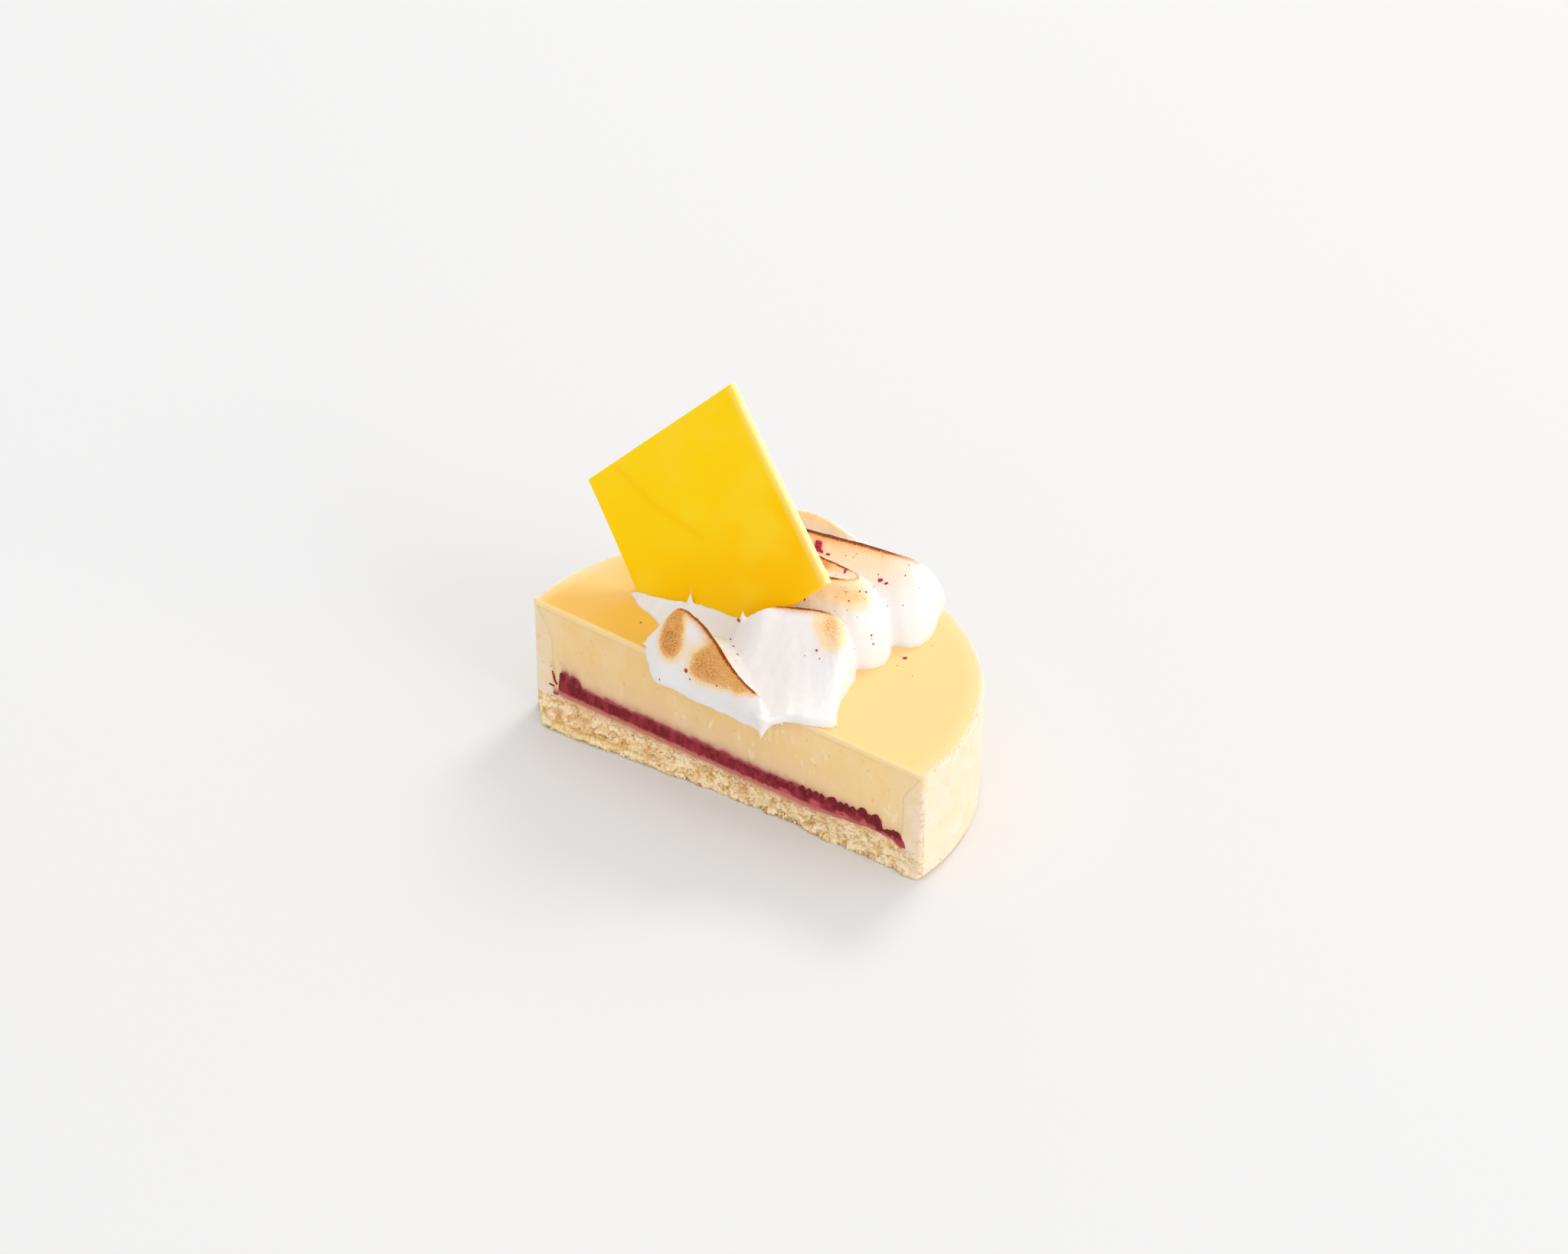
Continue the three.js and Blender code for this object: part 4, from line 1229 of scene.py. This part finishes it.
def makeChocolate(finish):
    side, edgeRound, (trimX, trimY) = chocolate["side"], chocolate["round"], chocolate["trim"]
    half = side / 2
    share = closeAtEnds(np.array(chocolate["edgeRows"]) / side, chocolate["steps"])
    u, v = np.meshgrid(share, share, indexing="ij")
    lowest, right, left = (-half - chocolate["flare"], -half), (half, -half), (-half, half)
    top = (half - trimX, half - trimY)
    x, y = ((1 - u) * (1 - v) * a + u * (1 - v) * b + u * v * c + (1 - u) * v * d
            for a, b, c, d in zip(lowest, right, top, left))
    x = x + chocolate["bow"] * 4 * v * (1 - v) * (1 - u) ** 3
    gap = np.minimum(np.minimum(u, 1 - u), np.minimum(v, 1 - v)) * side
    drop = edgeRound * (1 - fullness(gap, edgeRound))
    flat = stack(x, y, 0 * x)
    wave = sum(high * ripple(flat, size, seed) for size, high, seed in chocolate["waves"])
    line = rail([(a, b, 0) for a, b in chocolate["fold"]], np.linspace(0, 1, 60))
    _, far = nearestOf(line, flat.reshape(-1, 3))
    wide, deep = chocolate["foldSize"]
    # fold also darkens the crease in colour, on the front only: painted shade
    fold = np.exp(-(far.reshape(x.shape) / wide) ** 2) * ease(ripple(flat, 5, 153), -1.6, 0)
    sheets = [stack(x, y, wave - drop - deep * fold), stack(x, y, wave - chocolate["thickness"] + drop)]
    number = np.arange(x.size).reshape(x.shape)
    faces = [face for pair in zip(quads(number), quads(number + x.size, flip=True)) for face in pair]
    loop = [*number[:, 0], *number[-1, 1:], *number[-2::-1, -1], *number[0, -2:0:-1]]
    faces += [(b, a, a + x.size, b + x.size) for a, b in closed(loop)]
    mesh = meshOf("chocolateSquare", np.concatenate(sheets).reshape(-1, 3), faces)
    pale = 1 - ease(np.minimum(np.minimum(u, 1 - u), 1 - v) * side, 0, 0.04)
    # towards the right edge the front is painted lighter: a painted highlight where light from the right
    # falls on it; the pale sides are the chocolate's own
    highlightToRight = 0.5 * (1 - ease((1 - u) * side, -0.5, 1.9))
    paleEdgeAndHighlight = np.maximum(0.45 * pale, highlightToRight) * (1 - 0.5 * ease(v, 0.85, 1))
    paint(mesh, edge=np.ravel([paleEdgeAndHighlight, pale]), height=np.ravel([v, v]), fold=np.ravel([fold, 0 * fold]))
    turn = Matrix.Translation(chocolate["centre"])
    for angle, axis in ((chocolate["turn"], "Z"), (90 - chocolate["lean"], "X"), (chocolate["spin"], "Z")):
        turn = turn @ Matrix.Rotation(math.radians(angle), 4, axis)
    mesh.transform(turn)
    b = bmesh.new()
    b.from_mesh(mesh)
    middle = chocolate["centre"][0]
    level = tart["height"] - chocolate["sunk"] - tart["fall"] * middle
    cutLine = bmesh.ops.bisect_plane(b, geom=[*b.verts, *b.edges, *b.faces], plane_co=(middle, 0, level),
                                     plane_no=(-tart["fall"], 0, -1), clear_outer=True)["geom_cut"]
    bmesh.ops.edgeloop_fill(b, edges=[e for e in cutLine if isinstance(e, bmesh.types.BMEdge)])
    finishMesh(b, mesh)
    return addPiece("chocolateSquare", mesh, finish, ["chocolate_square"], crease=50)


# berry bits and pastry crumbs

bits = {
    "placed": [  # where each lies and its length
        ((-1.1, 27.6, 40.1), 2.3), ((-0.4, 27.2, 39.5), 1.3), ((1.2, 27.7, 38.9), 0.8),
        ((7.9, 23.4, 40.2), 0.8), ((12.3, 29.8, 36.1), 1.0), ((13.6, 30, 35.8), 0.8),
        ((13.3, 7.3, 32.2), 0.6), ((22.5, 24.1, 24.9), 0.9), ((-25.2, 1.5, 25.9), 0.5),
        ((-6.4, -8.3, 27.9), 0.8), ((1.7, -9, 28.2), 0.5), ((-5.2, -8.7, 26.6), 0.4),
        ((-12.2, -9, 23.8), 0.4), ((-4.1, 6.3, 32.5), 1.1), ((-4.7, 3.7, 29.4), 0.5),
        ((-0.7, 0.6, 29.1), 0.5), ((-2.9, 2.2, 29.1), 0.5), ((3.8, 16.4, 35.3), 0.6),
        ((12.8, 22, 37.8), 0.5), ((13.6, 23, 37.4), 0.5), ((12.3, 19.2, 36.9), 0.4),
        ((17.9, 18.9, 31.3), 0.45), ((18.6, 18.6, 29.8), 0.5),
    ],
    "dust": 60,
    "dustField": ((8, 8), (22, 9)),  # middle and spread, along X and Y
    "dustSize": (0.14, 0.34),
    "fallsFrom": 60,
}


def resting(trees, point):  # the nearest place on the surfaces under it, and the way out of them
    found = [tree.find_nearest(point) for tree in trees]
    return min(found, key=lambda hit: hit[3])[:2]


def dusted(trees):  # places under grains that fall at random
    places = []
    for _ in range(bits["dust"]):
        at = Vector((*(random.gauss(*field) for field in bits["dustField"]), bits["fallsFrom"])) * mm
        hits = [h for h in (tree.ray_cast(at, Vector((0, 0, -1))) for tree in trees) if h[0]]
        if hits:
            place = max(hits, key=lambda h: h[0].z)[0]
            places.append((place, random.uniform(*bits["dustSize"])))
    return places


def makeBits(finish, surfaces):
    trees = [BVHTree.FromObject(s, bpy.context.evaluated_depsgraph_get()) for s in surfaces]
    lumps = []
    places = [(Vector(at) * mm, size) for at, size in bits["placed"]]
    for i, (at, size) in enumerate(places + dusted(trees)):
        place, out = resting(trees, at)
        p, f = pebble(0.3, 200 + i, 3 if size > 0.7 else 2)
        p = p * (size, size * random.uniform(0.5, 0.8), size * random.uniform(0.3, 0.5))
        spin = Matrix.Rotation(random.uniform(0, 6.28), 3, "Z")
        turn = np.array(Vector((0, 0, 1)).rotation_difference(out).to_matrix() @ spin)
        lumps.append((p @ turn.T + np.array(place / mm) + np.array(out) * size * 0.12, f))
    return addPiece("berryBits", gathered("berryBits", lumps), finish)


crumbs = {  # how many, and their least and greatest size
    "foot": (90, 0.25, 0.8),  # along the bottom of the cut
    "face": (60, 0.25, 0.7),  # stuck on the base's cut face
    "wallEnd": (26, 0.25, 0.6),  # round the foot of the cut's right corner
    "corner": (16, 0.35, 0.7),  # up that corner
    "rim": (26, 0.25, 0.7),  # on the wall's top near the right corner
    "seam": (9, 0.2, 0.42),  # dark ones where the wall meets the custard at the left
}


def makeCrumbs(finish):
    lumps, brownness = [], []
    cut, ring, height = tart["cut"], tart["ring"], tart["height"]

    def drop(x, y, z, kind, browns=(0,)):
        size = random.uniform(*crumbs[kind][1:])
        brown = random.choice(browns) if len(browns) > 1 else browns[0]
        p, f = pebble(0.4, int(1e4 * random.random()), 2)
        shape = [size * random.uniform(*span) for span in ((0.8, 1.3), (0.6, 1), (0.5, 0.9))]
        spin = Matrix.Rotation(random.uniform(0, 6.28), 3, (random.random(), random.random(), 1))
        lumps.append(((p * shape) @ np.array(spin).T + (x, y, z), f))
        brownness.append(np.full(len(p), brown))

    def pastCorner(turned, inwards=0):  # x and y on the outside, at an angle past the cut's right corner
        angle = turned + math.asin(cut / ring)
        return (ring - inwards) * math.cos(angle), (ring - inwards) * math.sin(angle)

    for _ in range(crumbs["foot"][0]):
        x, z = random.uniform(-45, 43), random.uniform(0.1, 1.2)
        lip = float(lipReach(np.array(x))) * (0.85 + 0.1 * z)
        drop(x, cut - lip + random.uniform(-0.15, 0.15), z, "foot", (0, 0, 0.4))
    for _ in range(crumbs["face"][0]):
        x, y = random.uniform(-30, 46), cut - random.uniform(-0.1, 0.1)
        drop(x, y, random.uniform(1, 4.8), "face", (0, 0, 0.5))
    for _ in range(crumbs["wallEnd"][0]):
        drop(*pastCorner(random.uniform(-0.05, 0.5)), random.uniform(0.2, 4), "wallEnd")
    for _ in range(crumbs["corner"][0]):
        x, y = pastCorner(random.uniform(0, 0.05))
        drop(x - 0.1, y, random.uniform(4, 21), "corner")
    for _ in range(crumbs["rim"][0]):
        x, y = pastCorner(random.uniform(0, 0.6), random.uniform(0.1, 1.0))
        drop(x, y, settled(x, height) - 0.1, "rim")
    for _ in range(crumbs["seam"][0]):
        drop(-random.uniform(42.0, 43.2), cut - 0.05, random.uniform(9.8, 13.5), "seam", (1,))
    mesh = gathered("pastryCrumbs", lumps)
    p = pointsOf(mesh)
    p[:, 2] = np.maximum(p[:, 2], 0)
    movePoints(mesh, p)
    x, _, z = p.T
    paint(mesh, base=1 - 0.7 * ease(z, 3, 9), lump=0.75 + 0.25 * ease(z, 10, 20),
          pit=np.concatenate(brownness), lip=0 * x, stain=0 * x, smear=0 * x, topping=0 * x)
    return addPiece("pastryCrumbs", mesh, finish)


# finishes; a pair of tints is a range, and a single one is laid over what is there

def glow(weight, depth, reach):  # light through the outermost few mm
    return {"Subsurface_Weight": weight, "Subsurface_Scale": depth * mm, "Subsurface_Radius": reach}


pastryLook = {
    "wall": ("f1dab8", "f4e0cb"),
    "wallFleck": "e6c68e",
    "topping": "f5d8a8",
    # crumb runs from the sunk to the raised lumps, and crumbFleck is stronger on raised ones: painted light
    # and shade over its own mottling
    "crumb": ("deae60", "fde3b4"),
    "crumbFleck": "fff3d9",
    "crumbPatch": "e2b272",
    "pressed": "f0d999",
    # painted shade in the shell's pits, cracks and grooves, and the brown of browned loose crumbs
    "pit": "d0a04a",
    "stain": "d59c80",
    "smear": "f3e0dc",
}


def pastryFinish(name, weight):
    finish, look = Finish(name), pastryLook
    base, pit, lump, lip = finish.painted("base", "pit", "lump", "lip")
    stain, smear, topping = finish.painted("stain", "smear", "topping")
    patch, grain, fleck = finish.noise(4, 3), finish.noise(0.7, 4, 0.65), finish.noise(0.45, 2)
    wall = finish.over(finish.between(finish.spread(patch + 0.35 * grain, 0.45, 0.85), look["wall"]),
                       (finish.spread(fleck, 0.5, 0.68) * 0.3, look["wallFleck"]), (topping, look["topping"]))
    # raised lumps lighter and sunk ones darker: painted light and shade over the crumb's own mottling
    crumb = finish.over(finish.between(finish.spread(lump + 0.7 * (grain - 0.5), 0.1, 0.75), look["crumb"]),
                        (finish.spread(fleck, 0.48, 0.58) * (0.35 + 0.6 * lump), look["crumbFleck"]),
                        (finish.spread(patch, 0.5, 0.66) * 0.35, look["crumbPatch"]))
    colour = finish.over(finish.blend(base, wall, crumb),
                         (lip * (0.3 + 0.4 * finish.spread(patch, 0.4, 0.6)), look["pressed"]),
                         (pit * 0.9, look["pit"]),
                         (stain * (0.7 + 0.3 * finish.spread(grain, 0.2, 0.5)), look["stain"]),
                         (smear * 0.85, look["smear"]))
    return finish.surface(Base_Color=colour, Roughness=0.8, Normal=finish.bump(grain, 0.12, 0.6),
                          Specular_IOR_Level=0.2, **glow(weight, 1.2, (1, 0.8, 0.5)))


custardLook = {
    "low": "efcca0",
    "high": "f5cf90",
    "right": "ffdc9c",
    # painted light, laid on more towards the right where light from that side falls
    "cloud": "f8dcae",
    "side": "f5d8a8",
    # painted shade in the bubble dents
    "bubble": "dcb060",
    "mark": "fdeccb",
    "juice": "a84a53",
}


def custardFinish():
    finish, look = Finish("custard"), custardLook
    bubble, stain, mark, side = finish.painted("bubble", "stain", "mark", "side")
    cloud = finish.noise(6, 4)
    rise = finish.spread(finish.along("Z") + 5 * (cloud - 0.5), 9, 20)
    # the right tint is painted light, stronger towards the right
    colour = finish.over(finish.between(rise, (look["low"], look["high"])),
                         (finish.spread(finish.along("X"), 0, 40) * 0.5, look["right"]),
                         (finish.spread(cloud, 0.48, 0.66) * 0.4, look["cloud"]), (side * 0.75, look["side"]),
                         (bubble * 0.4, look["bubble"]), (mark * 0.6, look["mark"]), (stain, look["juice"]))
    return finish.surface(Base_Color=colour, Roughness=0.5, Specular_IOR_Level=0.25,
                          Normal=finish.bump(finish.noise(1.1, 3), 0.05, 0.5), **glow(0.3, 2, (1, 0.7, 0.4)))


glazeLook = {
    # deeper at the left as the chocolate's painted shadow and reflection, paler to the right; back, rim and
    # front are painted sheen and highlights
    "shadedLeftToLitRight": ("f5c053", "f8ce88"),
    "back": "fbd99e",
    "rim": "fbd99e",
    "front": "fbdda6",
}


def glazeFinish():
    finish, look = Finish("glaze"), glazeLook
    rim, front = finish.painted("rim", "front")
    across = finish.along("X")
    place = across + 8 * (finish.noise(16, 2) - 0.5)
    back = finish.spread(finish.along("Y") - 0.6 * across, 20, 42)
    # back paints a broad sheen towards the back left; rim and front paint highlights on its edges
    colour = finish.over(finish.between(finish.spread(place, -30, 18), look["shadedLeftToLitRight"]),
                         (back * 0.6, look["back"]), (rim * 0.75, look["rim"]), (front * 0.8, look["front"]))
    return finish.surface(Base_Color=colour, Roughness=0.22, Specular_IOR_Level=0.4)


raspberryLook = {
    # the dark end of the flesh range also carries the painted shade in the creases
    "flesh": ("6e0d1a", "a12b37"),
    "core": "d0505a",
    "edge": "bd5560",
    "soaked": "cd7f6e",
}


def raspberryFinish():
    finish, look = Finish("raspberry"), raspberryLook
    flesh, lump, edge, soaked = finish.painted("flesh", "lump", "edge", "soaked")
    grain = finish.noise(0.6, 3)
    colour = finish.over(finish.between(finish.spread(lump + 0.5 * (grain - 0.5), 0.1, 0.95), look["flesh"]),
                         (flesh * finish.spread(grain, 0.2, 0.5) * 0.95, look["core"]),
                         (edge * 0.45, look["edge"]), (soaked * 0.9, look["soaked"]))
    return finish.surface(Base_Color=colour, Roughness=0.45, Specular_IOR_Level=0.2,
                          Normal=finish.bump(grain, 0.12, 0.5))


meringueLook = {
    "plain": "ebe8e7",
    "pocket": "fbe0c0",
    "toasted": ["f5d9ad", "e3a45c", "b97431"],  # from little to much
    "burnt": ["df9a48", "94490f", "5a2706"],
}


def meringueFinish():
    finish, look = Finish("meringue"), meringueLook
    dark, brown, inside = finish.painted("dark", "brown", "inside")
    grain, cloud = finish.noise(0.3, 3, 0.6), finish.noise(2.4, 3)
    # warmth carries the torch's browning and, on the last fold, painted light
    warmth = brown * (0.94 + 1.6 * (grain - 0.5) + 0.3 * (cloud - 0.5))
    burn = dark * (1.0 + 1.2 * (grain - 0.5))
    colour = finish.between(inside * 0.6, (look["plain"], look["pocket"]))
    for (low, high), code in zip([(0.0, 0.34), (0.3, 0.75), (0.74, 1.1)], look["toasted"]):
        colour = finish.over(colour, (finish.spread(warmth, low, high), code))
    first, more, most = look["burnt"]
    colour = finish.over(colour, (finish.spread(burn, 0.06, 0.45) * 0.85, first),
                         (finish.spread(burn, 0.4, 0.72), more), (finish.spread(burn, 0.8, 1.1), most))
    return finish.surface(Base_Color=colour, Roughness=0.6, Specular_IOR_Level=0.2,
                          Normal=finish.bump(grain, 0.03, 0.3), **glow(0.2, 1.5, (1, 0.9, 0.8)))


chocolateLook = {
    # deeper at the bottom, where painted shade is laid, to lighter higher up
    "shadedBottomToTop": ("ffc000", "ffd408"),
    "cloud": "ffdc38",
    # painted shade along the crease
    "fold": "fcc400",
    # the pale sides, and the painted highlight near the right edge of the front
    "edge": "fff6cc",
}


def chocolateFinish():
    finish, look = Finish("chocolate"), chocolateLook
    edge, height, fold = finish.painted("edge", "height", "fold")
    cloud = finish.noise(14, 2)
    # from the bottom up: the lower part deeper in painted shade
    rise = finish.spread(height + 0.3 * (cloud - 0.5), -0.05, 0.7)
    colour = finish.over(finish.between(rise, look["shadedBottomToTop"]),
                         (finish.spread(cloud, 0.45, 0.7) * 0.35, look["cloud"]), (fold * 0.6, look["fold"]),
                         (edge * 0.95, look["edge"]))
    return finish.surface(Base_Color=colour, Roughness=0.42, Specular_IOR_Level=0.05,
                          **glow(0.25, 2, (1, 0.6, 0.1)))


def bitsFinish():
    finish = Finish("driedBerry")
    colour = finish.between(finish.spread(finish.noise(0.4, 3), 0.35, 0.65), ("8e1228", "c8425a"))
    return finish.surface(Base_Color=colour, Roughness=0.8, Specular_IOR_Level=0.1)


raspberry = raspberryFinish()
makeShell(pastryFinish("pastry", 0.12))
makeBerryLayer(raspberry)
makeBeads(raspberry)
makeCustard(custardFinish())
glazeTop = makeGlaze(glazeFinish())
wave = makeMeringue(meringueFinish())
makeChocolate(chocolateFinish())
makeBits(bitsFinish(), [wave, glazeTop])
makeCrumbs(pastryFinish("crumb", 0))


# floor and light

studio = {
    "floor": 6.0,  # metres
    "paper": ("e0e0e1", 0.9),  # tint and roughness
    "world": 0.94,
    "aim": (0, 15, 20),  # mm, the middle of the tart
    "lamps": {  # azimuth is from +Y towards +X
        "key": {"azimuth": -4, "elevation": 42, "away": 3, "size": 0.9, "power": 25, "tint": "fffaf3"},
        "fill": {"azimuth": 92, "elevation": 17, "away": 3, "size": 1.8, "power": 34, "tint": "fffcf7"},
    },
}


def addLamp(name, look):
    data = bpy.data.lights.new(name, "AREA")
    data.shape = "DISK"
    data.size = look["size"]
    data.energy = look["power"]
    data.color = tint(look["tint"])[:3]
    lamp = bpy.data.objects.new(name, data)
    azimuth, elevation = math.radians(look["azimuth"]), math.radians(look["elevation"])
    way = Vector((math.sin(azimuth) * math.cos(elevation), math.cos(azimuth) * math.cos(elevation),
                  math.sin(elevation)))
    lamp.location = Vector(studio["aim"]) * mm + way * look["away"]
    lamp.rotation_mode = "QUATERNION"
    lamp.rotation_quaternion = way.to_track_quat("Z", "Y")
    scene.collection.objects.link(lamp)


def addWorld():
    world = bpy.data.worlds.new("studio")
    world.use_nodes = True
    inputs = world.node_tree.nodes["Background"].inputs
    inputs["Color"].default_value = (1, 1, 1, 1)
    inputs["Strength"].default_value = studio["world"]
    scene.world = world
    scene.view_settings.view_transform = "Standard"


def addFloor():
    half = studio["floor"] / 2
    corners = np.array([(-half, -half, 0), (half, -half, 0), (-half, half, 0), (half, half, 0)])
    mesh = meshOf("floor", corners, [(0, 1, 3, 2)])
    code, roughness = studio["paper"]
    paper = Finish("floorPaper").surface(Base_Color=tint(code), Roughness=roughness, Specular_IOR_Level=0.1)
    mesh.materials.append(paper)
    floor = bpy.data.objects.new("floor", mesh)
    scene.collection.objects.link(floor)


for lampName, lampLook in studio["lamps"].items():
    addLamp(lampName, lampLook)
addWorld()
addFloor()
print("floor and light placed")
